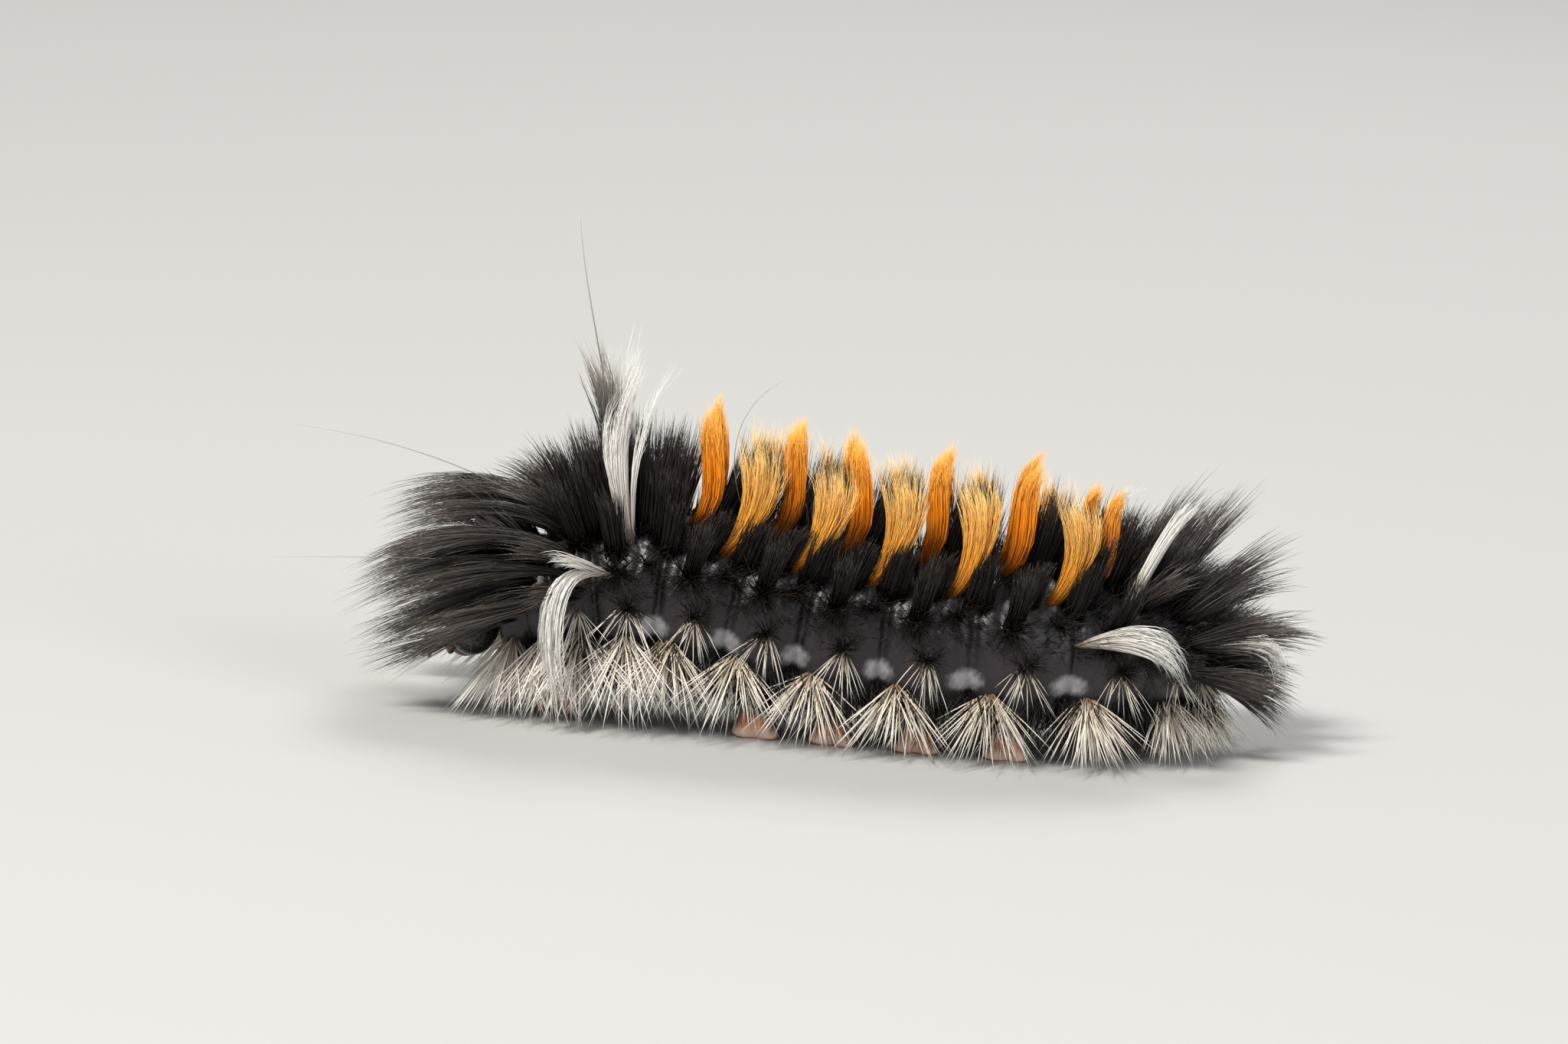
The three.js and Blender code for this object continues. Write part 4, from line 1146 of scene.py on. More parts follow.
        rear_back = Brush(0.3, 62, ((1.2, 1.5, 1.0), (3.0, 2.0, 1.6), (3.4, 1.9, -0.6)),
                          ((0.36, 0.26, 0.4), (0.5, 0.4, 0.6), (0.6, 0.4, 0.6)), 130,
                          root=0.22, shortest=0.5, clumps=7, pull=0.5, flare=0.12, wave=0.05)
        for form in (upright, aside, flick):
            piece.brush(3, form)
        for form in (rear_up, rear_side):
            piece.brush(9, form)
        piece.brush(11, rear_back)
        return piece

    def front_lashes(self, side: Side) -> CoatPiece:
        """The long dark lashes that reach over the head."""
        piece = CoatPiece("coat_front_lashes", self.lash_hair, side, rings=6)
        spread = ((0.3, 0.3, 0.3), (0.7, 0.55, 0.55), (1.0, 0.7, 0.75))
        for i, angle, *course in (
                (2, 2, (-1.2, 0.1, 1.9), (-3.8, 0.15, 2.5), (-6.6, 0.2, 1.6)),
                (1, 3, (-1.4, 0.1, 1.1), (-3.8, 0.15, 1.4), (-6.4, 0.2, 0.7)),
                (0, 4, (-1.2, 0.1, 0.7), (-2.8, 0.15, 0.7), (-4.6, 0.2, 0.2)),
                (2, 8, (-1.3, 0.3, 2.0), (-4.2, 0.6, 2.9), (-7.4, 0.6, 2.0)),
                (2, 26, (-1.4, 0.6, 1.8), (-4.4, 1.1, 2.5), (-7.8, 1.2, 1.5)),
                (2, 46, (-1.6, 1.0, 1.5), (-4.7, 1.7, 2.0), (-8.2, 1.9, 1.1)),
                (2, 66, (-1.8, 1.2, 1.0), (-4.9, 2.0, 1.3), (-8.2, 2.3, 0.6)),
                (2, 86, (-1.7, 1.3, 0.3), (-4.6, 2.1, 0.4), (-7.6, 2.4, -0.2)),
                (1, 18, (-1.6, 0.5, 1.2), (-4.3, 0.8, 1.7), (-7.4, 0.8, 0.9)),
                (1, 38, (-1.8, 0.8, 1.0), (-4.6, 1.3, 1.2), (-7.9, 1.4, 0.4)),
                (1, 60, (-1.9, 1.1, 0.6), (-4.6, 1.7, 0.6), (-7.8, 1.8, -0.1)),
                (1, 82, (-1.9, 1.2, 0.2), (-4.4, 1.8, 0.0), (-7.2, 1.8, -0.9)),
                (0, 22, (-1.4, 0.6, 0.8), (-3.4, 0.9, 0.9), (-5.4, 0.9, 0.4)),
                (0, 62, (-1.7, 0.9, 0.3), (-3.8, 1.3, 0.1), (-6.4, 1.3, -0.5)),
                (0, 92, (-1.6, 1.0, 0.0), (-3.8, 1.4, -0.4), (-6.0, 1.3, -1.1))):
            piece.brush(i, Brush(0.5, angle, tuple(course), spread, 180, clumps=16, pull=0.55,
                                 wander=0.14, wave=0.05, **self.lash_style))
        short = ((0.5, 0.5, 0.4), (0.8, 0.7, 0.7), (1.0, 0.8, 0.9))
        for i, angle, *course in (
                (2, 5, (-0.5, 0.1, 1.4), (-1.4, 0.1, 2.4), (-2.6, 0.1, 2.8)),
                (2, 12, (-0.2, 0.1, 1.3), (-0.6, 0.1, 2.5), (-1.4, 0.1, 3.3)),
                (1, 14, (-0.3, 0.2, 1.2), (-0.8, 0.2, 2.3), (-1.6, 0.3, 3.0)),
                (1, 36, (-0.3, 0.6, 1.0), (-0.8, 0.9, 1.9), (-1.6, 1.0, 2.5)),
                (1, 5, (-0.6, 0.1, 1.2), (-1.6, 0.1, 2.1), (-3.0, 0.1, 2.3)),
                (0, 8, (-0.7, 0.1, 0.8), (-1.8, 0.15, 1.3), (-3.0, 0.2, 1.3)),
                (2, 20, (-0.6, 0.4, 1.2), (-1.6, 0.6, 2.1), (-2.9, 0.6, 2.4)),
                (2, 58, (-0.6, 1.0, 0.8), (-1.6, 1.7, 1.3), (-2.8, 2.2, 1.5)),
                (2, 80, (-0.6, 1.2, 0.4), (-1.5, 2.0, 0.5), (-2.6, 2.5, 0.3)),
                (1, 50, (-0.8, 0.8, 0.7), (-2.0, 1.4, 1.0), (-3.4, 1.6, 0.9)),
                (1, 24, (-0.8, 0.6, 1.0), (-2.0, 0.9, 1.6), (-3.6, 1.0, 1.6)),
                (1, 74, (-0.8, 1.0, 0.3), (-2.0, 1.6, 0.3), (-3.4, 1.9, 0.0)),
                (0, 44, (-0.9, 0.7, 0.5), (-2.2, 1.0, 0.6), (-3.8, 1.1, 0.3)),
                (0, 80, (-0.9, 0.8, 0.1), (-2.2, 1.2, 0.0), (-3.8, 1.3, -0.5))):
            piece.brush(i, Brush(0.6, angle, tuple(course), short, 110, **self.short_style))
        return piece

    def rear_lashes(self, side: Side) -> CoatPiece:
        """The long dark lashes behind the body."""
        piece = CoatPiece("coat_rear_lashes", self.rear_hair, side, rings=6)
        spread = ((0.4, 0.4, 0.4), (0.85, 0.65, 0.7), (1.1, 0.8, 0.95))
        for i, angle, *course in (
                (10, 2, (0.8, 0.1, 2.0), (2.2, 0.15, 3.8), (3.8, 0.2, 4.7)),
                (11, 3, (1.4, 0.1, 1.5), (3.2, 0.15, 2.5), (5.0, 0.2, 2.7)),
                (12, 4, (1.4, 0.1, 0.8), (3.0, 0.15, 1.1), (4.6, 0.2, 0.9)),
                (10, 16, (0.8, 0.4, 2.0), (2.2, 0.6, 4.2), (3.9, 0.6, 5.6)),
                (10, 40, (1.0, 0.8, 1.7), (2.6, 1.3, 3.4), (4.5, 1.4, 4.4)),
                (10, 66, (1.2, 1.2, 1.0), (2.8, 2.0, 1.8), (4.8, 2.2, 2.0)),
                (10, 88, (1.2, 1.2, 0.2), (2.8, 2.0, 0.3), (4.5, 2.2, 0.0)),
                (11, 20, (1.4, 0.5, 1.6), (3.4, 0.8, 2.9), (5.6, 0.8, 3.3)),
                (11, 52, (1.5, 1.0, 1.0), (3.6, 1.6, 1.6), (5.8, 1.8, 1.6)),
                (11, 80, (1.4, 1.1, 0.1), (3.2, 1.7, -0.1), (5.0, 1.8, -0.5)),
                (12, 26, (1.5, 0.5, 0.9), (3.2, 0.8, 1.3), (5.0, 0.8, 1.1)),
                (12, 60, (1.5, 0.9, 0.4), (3.2, 1.4, 0.2), (4.9, 1.5, -0.3)),
                (12, 92, (1.3, 0.9, -0.1), (2.9, 1.3, -0.7), (4.3, 1.3, -1.3))):
            piece.brush(i, Brush(0.5, angle, tuple(course), spread, 150, clumps=12, pull=0.5,
                                 wander=0.13, wave=0.04, **self.lash_style))
        return piece

    def rear_brushes(self, side: Side) -> CoatPiece:
        """The short dark hair that fills in between the lashes of the rear rings."""
        piece = CoatPiece("coat_rear_brushes", self.rear_hair, side, rings=4)
        spread = ((0.5, 0.5, 0.4), (0.8, 0.7, 0.7), (1.0, 0.9, 0.9))
        for i in (9, 10, 11, 12):
            for angle, out, up in ((2, 0.1, 2.8), (18, 0.5, 2.8), (40, 1.3, 2.3),
                                   (66, 2.0, 1.3), (90, 2.2, 0.2)):
                if i == 9 and angle > 50:
                    continue
                course = ((0.5, out * 0.5, up * 0.4), (1.2, out * 0.8, up * 0.8), (2.1, out, up))
                piece.brush(i, Brush(0.7, angle, course, spread, 100, **self.short_style))
        return piece

    def grey_lashes(self, side: Side) -> CoatPiece:
        """The upright lash of the first ring, black below and grey above.

        The far side's leans further forward.
        """
        piece = CoatPiece("coat_grey_lashes", self.grey_hair, side, rings=8)
        tip = -0.1 if side is Side.LEFT else -1.7
        piece.brush(3, Brush(0.34, 22, ((-0.1, 0.3, 2.6), (-0.35, 0.3, 5.2), (tip, 0.1, 7.7)),
                             ((0.34, 0.24, 0.1), (0.85, 0.36, 0.5), (0.65, 0.4, 1.3)), 290,
                             root=0.26, width=0.05, shortest=0.45, clumps=9, pull=0.7,
                             flare=0.1, wave=0.05), 1.0 if side is Side.LEFT else 0.96)
        return piece

    def side_stars(self, side: Side) -> CoatPiece:
        """The dark stars and soft short tufts of hair along the side."""
        piece = CoatPiece("coat_side_stars", self.black_hair, side, rings=4)
        for i in (*self.ring_segments, 9, 3):
            piece.star(i, Star(0.35, 67, (0.0, 1.0, 0.1), (1.1, 0.6, 1.1), 2.3, 110))
            piece.star(i, Star(0.52, 94, (0.0, 1.0, 0.4), (1.1, 0.6, 0.9), 2.0, 70))
            piece.star(i, Star(0.8, 60, (0.2, 1.0, 0.4), (1.0, 0.6, 0.9), 1.7, 60))
            if i != 3:
                piece.brush(i, Brush(
                    0.36, 64, ((0.1, 0.9, 0.8), (0.15, 1.4, 1.9), (0.2, 1.5, 3.1)),
                    ((0.35, 0.3, 0.2), (0.6, 0.4, 0.4), (0.7, 0.5, 0.6)), 170,
                    **self.short_style | {"root": 0.4}))
        for i, place in ((9, 0.82), (10, 0.25)):
            piece.star(i, Star(place, 82, (0.6, 1.0, 0.1), (1.0, 0.6, 1.0), 1.9, 70, root=0.5))
        piece.fuzz(1900, 24, 84, 1.6, 0.04)
        return piece

    def pale_fans(self, side: Side, front: bool = False) -> CoatPiece:
        """The pale fans of stiff hairs that hang from the low warts to the floor.

        Args:
            side: The side of the body.
            front: Whether these are the whiter fans of the first rings.
        """
        name = "coat_white_fans" if front else "coat_pale_fans"
        piece = CoatPiece(name, self.fan_hair if front else self.pale_hair, side, rings=4)
        for i in range(4) if front else range(4, len(BODY.lengths)):
            middle = 3 < i < 9
            place = 0.22 if 3 < i < 10 else 0.5
            size = 0.85 if i >= 10 else 1.14 if i < 4 else 1.0
            forward = -0.8 if i < 2 else -0.35 if i == 2 else 0.0 if i < 9 else 0.2
            count = 68 if front else 52 if middle else 74
            piece.star(i, Star(place, 119, (forward, 0.7, -1.0), (1.35, 0.4, 0.45), 4.1, count,
                               sag=0.13, width=0.085, shortest=0.55), size)
            piece.star(i, Star(place + 0.2, 137, (forward, 0.45, -1.0), (0.8, 0.3, 0.2), 3.0,
                               count // 2, sag=0.1, width=0.07), size)
            if i > 1:
                piece.star(i, Star(0.52, 94, (0.0, 0.9, -1.0), (1.2, 0.4, 0.5), 2.7, 20,
                                   sag=0.15, width=0.05), size)
        return piece

    def low_hair(self, side: Side) -> CoatPiece:
        """The dark hair below the pale fans, which hides the belly and the legs and also serves
        as painted shade under the body.
        """
        piece = CoatPiece("coat_low_hair", self.black_hair, side, rings=4)
        # dark hair laid as painted shade in the gap between the belly and the floor, as well as
        # the body's own low hair
        for i in range(1, len(BODY.lengths)):
            for place in (0.1, 0.4, 0.7, 0.95):
                piece.star(i, Star(place, 140, (0.0, 0.35, -1.0), (0.6, 0.4, 0.25), 2.3, 44,
                                   root=0.4, sag=0.1, width=0.05),
                           0.8 if i > 10 else 1.25 if i in (2, 3, 4) else 1.0)
                piece.star(i, Star(place, 120, (0.0, 0.9, -1.0), (1.0, 0.4, 0.5), 2.0, 20,
                                   root=0.4, sag=0.1, width=0.05))
        return piece

    def long_hairs(self) -> CoatPiece:
        """The few single hairs that stand far out of the coat."""
        piece = CoatPiece("coat_long_hairs", self.long_hair, Side.LEFT, rings=14)
        for width, *points in (
                (0.08, (-7.5, -0.6, 12.0), (-8.4, -0.6, 16.0), (-9.5, -0.7, 19.0),
                 (-9.8, -0.8, 21.9)),
                (0.06, (-8.8, -0.9, 8.0), (-11.6, -1.2, 9.9), (-16.0, -1.5, 11.4),
                 (-21.0, -1.8, 11.6)),
                (0.06, (-9.4, -1.4, 6.5), (-13.0, -2.0, 6.7), (-18.0, -2.4, 6.3),
                 (-21.6, -2.8, 6.0)),
                (0.07, (-1.4, -1.2, 9.0), (-3.2, -1.2, 12.0), (-2.2, -1.2, 14.6),
                 (-0.3, -1.2, 15.5))):
            piece.hair(points, width)
        return piece

    def build(self) -> None:
        """Builds every piece of the coat, side by side."""
        for side in Side:
            for grow in (self.black_brushes, self.fore_brushes, self.orange_tufts,
                         self.golden_tufts, self.white_lashes, self.grey_lashes,
                         self.front_lashes, self.rear_lashes, self.rear_brushes,
                         self.side_stars, self.low_hair, self.pale_fans):
                grow(side).build()
            self.pale_fans(side, front=True).build()
        self.long_hairs().build()


@dataclass
class Head:
    """The glossy head shell with its face, simple eyes, jaws, feelers and scattered hairs.

    Places are from the head's centre, with the left side's mirrored for the right. Balls are
    place and radii, jaw_profile is depth and radii, and feeler_profile share and radius.
    """

    centre: Point = (-12.75, 0.0, 3.55)
    lobe: Point = (1.15, 0.95, 1.38)
    aside: float = 0.48
    lip_balls: tuple[Point, Point] = ((-0.98, 0.2, -1.0), (0.2, 0.22, 0.2))
    face_balls: tuple[tuple[Point, Point], ...] = (
        ((-0.72, 0, -0.55), (0.5, 0.52, 0.5)), ((-0.3, 0, -1.15), (0.6, 0.62, 0.4)))
    voxel: float = 0.04
    smoothing: int = 4
    shell: Colour = (0.012, 0.01, 0.011)
    seam: Colour = (0.09, 0.06, 0.045)
    lip: Colour = (0.3, 0.17, 0.1)
    pale: Colour = (0.5, 0.41, 0.33)
    jaw: Colour = (0.1, 0.045, 0.022)
    eye: Colour = (0.05, 0.03, 0.02)
    seam_width: float = 0.045
    seam_depth: float = 0.06
    seam_share: float = 0.8
    fork_height: float = 0.1
    fork_slope: float = 0.62
    jaw_profile: tuple[Point, ...] = (
        (0.0, 0.2, 0.24), (0.12, 0.22, 0.27), (0.26, 0.2, 0.25), (0.38, 0.14, 0.22),
        (0.44, 0.07, 0.19))
    jaw_teeth: int = 5
    tooth: float = 0.035
    feeler_profile: tuple[tuple[float, float], ...] = (
        (-0.1, 0.05), (-0.05, 0.12), (0.05, 0.14), (0.26, 0.14), (0.3, 0.1), (0.36, 0.11),
        (0.6, 0.11), (0.64, 0.07), (0.9, 0.06), (1.0, 0.02))
    eye_ring: tuple[float, float] = (0.3, 0.44)
    eye_radii: Point = (0.105, 0.16, 0.105)
    face_hairs: int = 70
    hair_patch: tuple[float, float] = (0.008, 0.1)
    hair_width: float = 0.032
    hair_drop: float = 0.3
    hair_bend: float = 0.3

    def capsule(self) -> bpy.types.Object:
        """The shell: two lobes, the face plate and the upper lip, joined, softened and seamed."""
        centre = np.array(self.centre)
        parts = []
        for side in Side:
            mirror = [1, -side.value, 1]
            parts.append(ball(centre + np.array([0, self.aside, 0]) * mirror, self.lobe))
            parts.append(ball(centre + np.array(self.lip_balls[0]) * mirror, self.lip_balls[1]))
        parts += [ball(centre + place, radii) for place, radii in self.face_balls]
        piece = new_object("head_shell", mesh_from("head_shell", *join(parts)),
                           ("head",))
        points = fuse(piece, self.voxel, self.smoothing)
        seam = self.seam_mask(points)
        sunk = points + unit(centre - points) * seam[:, None] * self.seam_depth
        piece.data.vertices.foreach_set(
            "co", ((sunk + SHIFT) * MILLIMETRE).astype(np.float32).ravel())
        piece.data.update()
        x, y, z = (points - centre).T
        front = smooth(-x, 0.55, 0.8)
        plate = (front * smooth(-z, 0.66, 0.72) * smooth(z, -0.86, -0.8)
                 * smooth(-np.abs(y), -0.42, -0.36))
        lip = front * smooth(-z, 0.84, 0.9) * smooth(-np.abs(y), -0.5, -0.4)
        colour = np.tile(np.array(self.shell), (len(points), 1))
        for mask, tint in ((seam * self.seam_share, self.seam), (plate, self.pale),
                           (lip, self.lip)):
            colour = blend(colour, mask, tint)
        paint(piece.data, colour)
        piece.data.materials.append(ShellFinish(
            "head_gloss", 0.2, coat=0.6, bump=0.000006, grain=9000.0).material())
        return piece

    def seam_mask(self, points: Array) -> Array:
        """How deep each point of the shell lies in the face's seams, from 0 to 1.

        One seam runs down the middle of the crown and parts above the face plate into two that
        run to its lower corners.
        """
        x, y, z = (points - np.array(self.centre)).T
        fork = np.maximum(self.fork_height - z, 0) * self.fork_slope
        lines = np.exp(-(((np.abs(y) - fork) / self.seam_width) ** 2))
        return lines * smooth(-x, -0.1, 0.4) * smooth(z, -0.75, -0.6)

    def jaws(self, side: Side) -> bpy.types.Object:
        """One dark toothed jaw below the upper lip."""
        turn = circle(24)
        rings = []
        for down, rx, ry in self.jaw_profile:
            teeth = self.tooth * down * np.cos(turn * self.jaw_teeth)
            place = np.array(self.centre) + [
                -0.86 - 0.05 * down, -side.value * (0.27 - 0.14 * down), -1.02 - down]
            rings.append(place + np.stack([rx * np.cos(turn), ry * np.sin(turn), teeth], -1))
        return shell_piece(f"jaw_{side.name.lower()}", closed_loft(np.array(rings)),
                           self.jaw, ShellFinish("jaw_shell", 0.25, coat=0.4, bump=0.000004))

    def hairs(self, side: Side) -> bpy.types.Object:
        """The fine hairs scattered over the face."""
        piece = CoatPiece("coat_face_hair", Coat.face_hair, side, rings=4)
        piece.floor = 1.0
        random, count = piece.random, self.face_hairs
        way = unit(random.normal(0, 1, (count * 6, 3)) + [-0.6, 0, 0])
        way[:, 1] = np.abs(way[:, 1])
        way = way[(way[:, 0] < 0.1) & (way[:, 2] > -0.7)][:count] * [1, -side.value, 1]
        middle = np.array(self.centre) - [0, side.value * self.aside, 0]
        root = middle + way * self.lobe * 0.98
        reach = random.uniform(0.35, 1.15, (len(way), 1))
        heading = unit(way + [-0.5, 0, -0.1] + random.normal(0, 0.25, (len(way), 3)))
        place = np.array([self.hair_patch[0], 0.5 + self.hair_patch[1] * side.value])
        piece.spray(root, heading, reach, self.hair_width, place, self.hair_drop,
                    bend=self.hair_bend)
        return piece.build()

    def feeler(self, side: Side) -> bpy.types.Object:
        """A short feeler of three joints, pale at its root."""
        low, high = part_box(f"antenna_{side.name.lower()}")
        low, high = (np.array(v) / MILLIMETRE - SHIFT for v in (low, high))
        inner, outer = (high[1], low[1]) if side is Side.LEFT else (low[1], high[1])
        start = np.array([high[0] - 0.2, inner - side.value * 0.15, high[2]])
        end = np.array([low[0] + 0.12, outer + side.value * 0.1, low[2]])
        along = unit(end - start)
        across = unit(np.cross(along, [0.0, 0.0, 1.0]))
        turn = circle(16)
        ring = np.outer(np.cos(turn), across) + np.outer(np.sin(turn), np.cross(across, along))
        solid = closed_loft(np.array([start + (end - start) * share + radius * ring
                                      for share, radius in self.feeler_profile]))
        name = f"feeler_{side.name.lower()}"
        mesh = mesh_from(name, *solid)
        piece = new_object(name, mesh, (f"antenna_{side.name.lower()}",))
        gone = (solid[0] - start) @ (end - start) / ((end - start) ** 2).sum()
        base = np.tile(np.array(self.pale), (len(gone), 1))
        paint(mesh, blend(base, smooth(gone, 0.3, 0.9), self.jaw))
        mesh.materials.append(ShellFinish("feeler_shell", 0.35, bump=0.000004).material())
        return piece

    def eyes(self, side: Side) -> bpy.types.Object:
        """The ring of six simple eyes on one side of the face."""
        across = -side.value * (self.aside + self.lobe[1] * 0.68)
        turns = [math.radians(-75 + 32 * k) for k in range(6)]
        parts = [ball(np.array(self.centre) + [-0.52 - self.eye_ring[0] * math.cos(turn), across,
                                               -0.42 + self.eye_ring[1] * math.sin(turn)],
                      self.eye_radii, 12, 18) for turn in turns]
        return shell_piece(f"simple_eyes_{side.name.lower()}", join(parts), self.eye,
                           ShellFinish("eye_gloss", 0.05, coat=1.0, bump=0.0))

    def build(self) -> None:
        """Builds the head's pieces."""
        self.capsule()
        for side in Side:
            for grow in (self.feeler, self.eyes, self.jaws, self.hairs):
                grow(side)


@dataclass
class TrueLegs:
    """The six jointed legs behind the head.

    profile holds rings as the share of the leg's height from its top, how far they lie aside
    and forward of its root, and their radius. claw_profile is share, forward and radius.
    """

    profile: tuple[tuple[float, float, float, float], ...] = (
        (0.0, 0.0, 0.0, 0.62), (0.18, 0.1, 0.02, 0.6), (0.3, 0.22, 0.05, 0.46),
        (0.36, 0.28, 0.08, 0.5), (0.5, 0.36, 0.2, 0.46), (0.6, 0.36, 0.28, 0.32),
        (0.64, 0.34, 0.3, 0.36), (0.76, 0.24, 0.36, 0.28), (0.8, 0.2, 0.38, 0.19),
        (0.83, 0.16, 0.39, 0.2), (0.89, 0.1, 0.42, 0.14), (0.91, 0.08, 0.43, 0.09))
    claw_profile: tuple[Point, ...] = (
        (0.0, 0.43, 0.085), (0.25, 0.5, 0.07), (0.5, 0.54, 0.055), (0.75, 0.53, 0.035),
        (0.96, 0.46, 0.012))
    joints: Point = (0.3, 0.62, 0.81)
    joint_width: float = 0.035
    angle: float = 146.0
    above: float = 0.4
    flatness: float = 0.85
    claw_height: float = 0.1
    colour: Colour = (0.33, 0.15, 0.09)
    membrane: Colour = (0.62, 0.4, 0.29)
    dark: Colour = (0.05, 0.03, 0.03)
    claw: Colour = (0.06, 0.025, 0.015)
    hairs: int = 26
    hair_angle: float = 150
    hair_width: float = 0.026
    hair_drop: float = 0.1

    def leg(self, number: int, side: Side) -> bpy.types.Object:
        """One leg that stands where its solid stands, with its claw and its hairs."""
        hand = side.name.lower()
        s = np.array([BODY.middles[number - 1]])
        root = BODY.skin(s, np.array([self.angle * side.value]))[0]
        top = root[2] + self.above
        rings = level_rings([(root[0] - forward, root[1] - side.value * aside, top * (1 - down))
                             for down, aside, forward, _ in self.profile],
                            [row[3] for row in self.profile], 20, self.flatness)
        solid = closed_loft(rings)
        mesh = mesh_from(f"true_leg_{number}_{hand}", *solid)
        piece = new_object(mesh.name, mesh, (f"thoracic_leg_{number}_{hand}",))
        down = 1 - solid[0][:, 2] / top
        plate = 1 - sum(np.exp(-(((down - joint) / self.joint_width) ** 2))
                        for joint in self.joints)
        colour = np.tile(np.array(self.membrane), (len(down), 1))
        colour = blend(colour, np.clip(plate * 0.75, 0, 1), self.colour)
        paint(mesh, blend(colour, smooth(-down, -0.5, -0.15), self.dark))
        mesh.materials.append(ShellFinish("leg_shell", 0.35, coat=0.2, bump=0.00001,
                                          subsurface=0.2).material())
        self.hook(number, side, root, top)
        self.bristles(number, side, rings[1:9])
        return piece

    def hook(self, number: int, side: Side, root: Array, top: float) -> bpy.types.Object:
        """The curved dark claw at the end of a leg."""
        rings = level_rings([(root[0] - forward, root[1] - side.value * 0.08,
                              top * self.claw_height * (1 - share))
                             for share, forward, _ in self.claw_profile],
                            [row[2] for row in self.claw_profile], 12)
        return shell_piece(f"claw_{number}_{side.name.lower()}", closed_loft(rings),
                           self.claw, ShellFinish("claw_shell", 0.25, coat=0.4, bump=0.0))

    def bristles(self, number: int, side: Side, rings: Array) -> bpy.types.Object:
        """The fine hairs of a leg, which grow from its rings."""
        piece = CoatPiece(f"coat_leg_hair_{number}", Coat.face_hair, side, rings=3)
        random = piece.random
        row = random.integers(0, len(rings), self.hairs)
        root = rings[row, random.integers(0, rings.shape[1], self.hairs)]
        out = unit(root - rings.mean(1)[row])
        reach = random.uniform(0.25, 0.6, (self.hairs, 1))
        heading = unit(out + [0, 0, -0.7] + random.normal(0, 0.2, (self.hairs, 3)))
        place = piece.unwrap(BODY.middles[number - 1:number],
                             np.array([self.hair_angle * side.value]))
        piece.spray(root, heading, reach, self.hair_width, place, self.hair_drop)
        return piece.build()

    def build(self) -> None:
        """Builds all six legs."""
        for number in (1, 2, 3):
            for side in Side:
                self.leg(number, side)


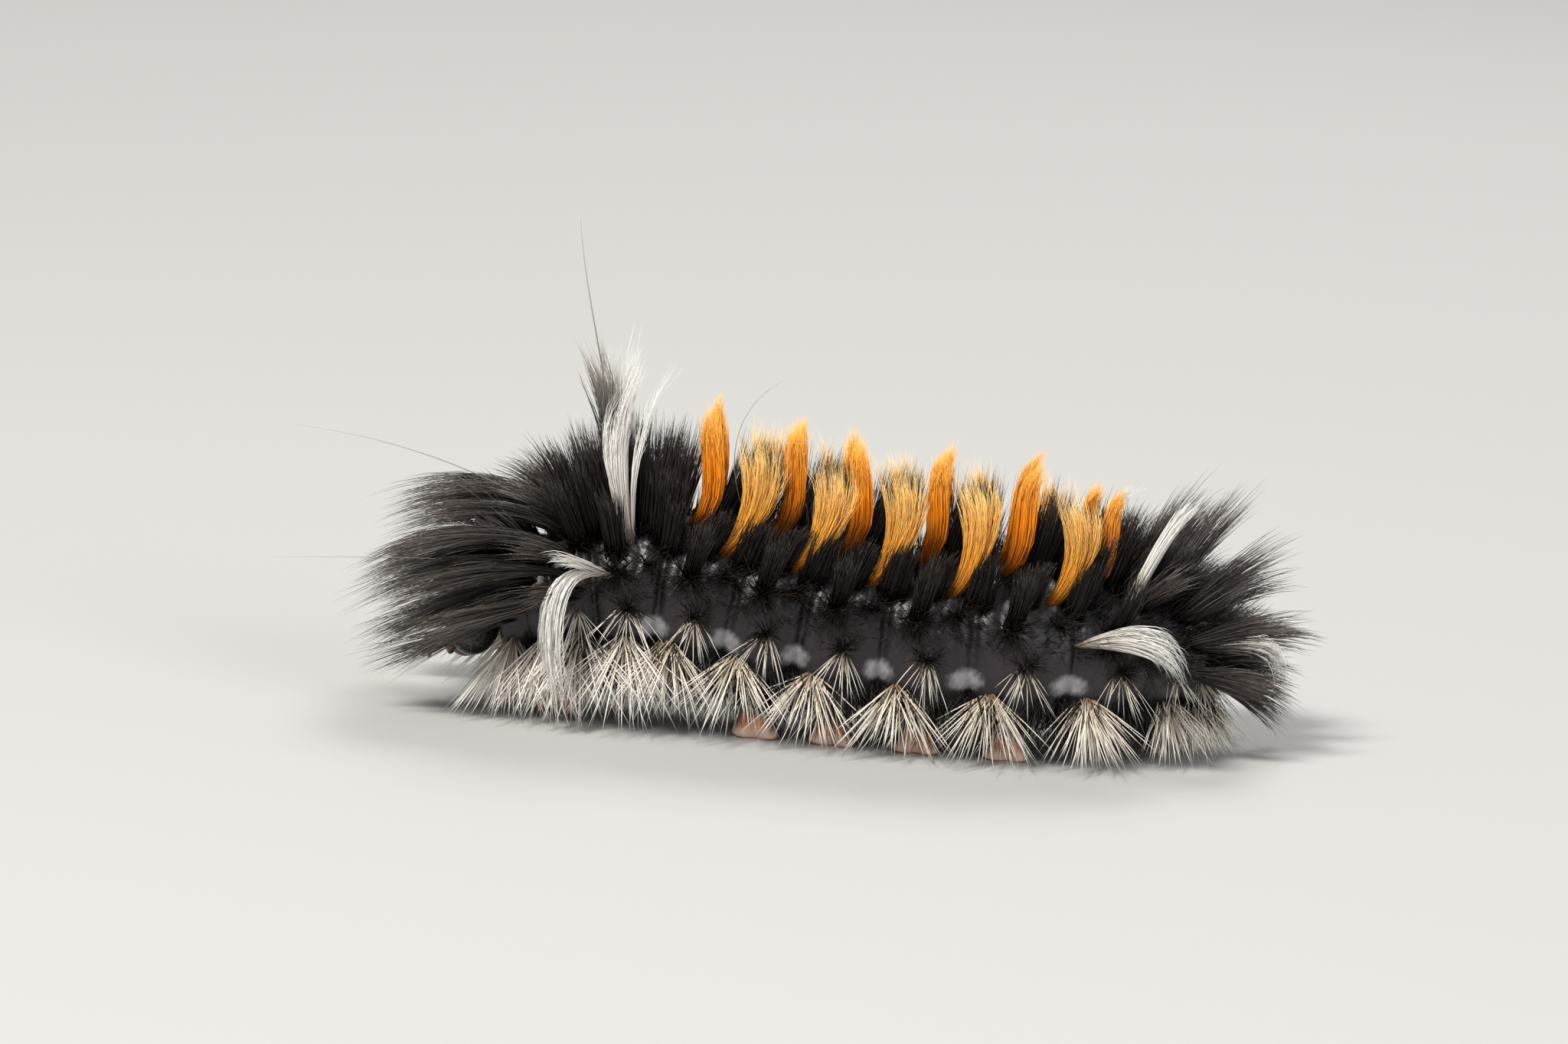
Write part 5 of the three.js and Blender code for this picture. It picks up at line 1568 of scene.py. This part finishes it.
@dataclass
class Studio:
    """The floor, the lights and the camera."""

    frame_width: float = 66.6
    distance: float = 290.0
    sensor: float = 36.0
    elevation: float = math.radians(10.5)
    roll: float = math.radians(5.5)
    aim: Point = (0.0, 0.0, 9.1)
    floor_half_width: float = 2.0
    floor_profile: tuple[tuple[float, float], ...] = (
        (-2.0, 0.0), (0.5, 0.0), (0.62, 0.01), (0.74, 0.05), (0.84, 0.13), (0.9, 0.24),
        (0.92, 0.5), (0.92, 2.0))
    floor_colour: Colour = (0.5, 0.495, 0.48)
    floor_roughness: float = 0.75
    light_aim: Point = (0, 0, 0.006)
    surround: Colour = (0.9, 0.93, 1.0)
    surround_strength: float = 0.25
    clip: tuple[float, float] = (0.01, 10)

    def floor(self) -> None:
        """A pale floor that curves up far behind the larva."""
        mesh = bpy.data.meshes.new("studio_floor")
        half = self.floor_half_width
        points = [(x, y, z) for y, z in self.floor_profile for x in (-half, half)]
        faces = [(k, k + 1, k + 3, k + 2) for k in range(0, len(points) - 2, 2)]
        mesh.from_pydata(points, [], faces)
        mesh.shade_smooth()
        floor = bpy.data.objects.new("studio_floor", mesh)
        bpy.context.scene.collection.objects.link(floor)
        material, shader = material_with_shader("pale_floor")
        shader.inputs["Base Color"].default_value = (*self.floor_colour, 1)
        shader.inputs["Roughness"].default_value = self.floor_roughness
        mesh.materials.append(material)

    def light(self, name: str, place: Point, size: float, power: float, colour: Colour) -> None:
        """A soft square light that faces the larva."""
        data = bpy.data.lights.new(name, "AREA")
        data.size, data.energy, data.color = size, power, colour
        lamp = bpy.data.objects.new(name, data)
        lamp.location = place
        lamp.rotation_euler = (Vector(self.light_aim) - Vector(place)).to_track_quat(
            "-Z", "Y").to_euler()
        bpy.context.scene.collection.objects.link(lamp)

    def lights(self) -> None:
        """A key from the upper left in front, a fill, a rim and a pale surround."""
        self.light("key", (-0.22, -0.3, 0.42), 0.1, 3.6, (1.0, 0.97, 0.93))
        self.light("fill", (0.4, -0.3, 0.25), 0.3, 1.0, (0.95, 0.97, 1.0))
        self.light("rim", (0.1, 0.35, 0.4), 0.2, 1.5, (1.0, 0.98, 0.95))
        world = bpy.data.worlds.new("studio")
        bpy.context.scene.world = world
        world.use_nodes = True
        surround = world.node_tree.nodes["Background"]
        surround.inputs["Color"].default_value = (*self.surround, 1)
        surround.inputs["Strength"].default_value = self.surround_strength

    def camera(self) -> None:
        """A long lens low over the floor, square to the larva's left side."""
        data = bpy.data.cameras.new("camera")
        data.sensor_width = self.sensor
        data.lens = self.sensor * self.distance / self.frame_width
        data.clip_start, data.clip_end = self.clip
        camera = bpy.data.objects.new("camera", data)
        aim = Vector(((np.array(self.aim) + SHIFT) * MILLIMETRE).tolist())
        back = Vector((0, -math.cos(self.elevation), math.sin(self.elevation)))
        look = (-back).to_track_quat("-Z", "Y").to_matrix().to_4x4()
        turn = Matrix.Rotation(self.roll, 4, "Z")
        camera.matrix_world = (Matrix.Translation(aim + back * self.distance * MILLIMETRE)
                               @ look @ turn)
        bpy.context.scene.collection.objects.link(camera)
        bpy.context.scene.camera = camera

    def build(self) -> None:
        """Sets up the studio."""
        self.floor()
        self.lights()
        self.camera()
        bpy.context.scene.view_settings.view_transform = "Standard"


def main() -> None:
    """Builds the larva and its studio."""
    logging.basicConfig(level=logging.INFO, format="%(name)s: %(message)s")
    Studio().build()
    skin = Skin().build()
    log.info("skin: %d faces", len(skin.data.polygons))
    Head().build()
    TrueLegs().build()
    Coat().build()
    bpy.context.view_layer.update()


if __name__ == "__main__":
    main()
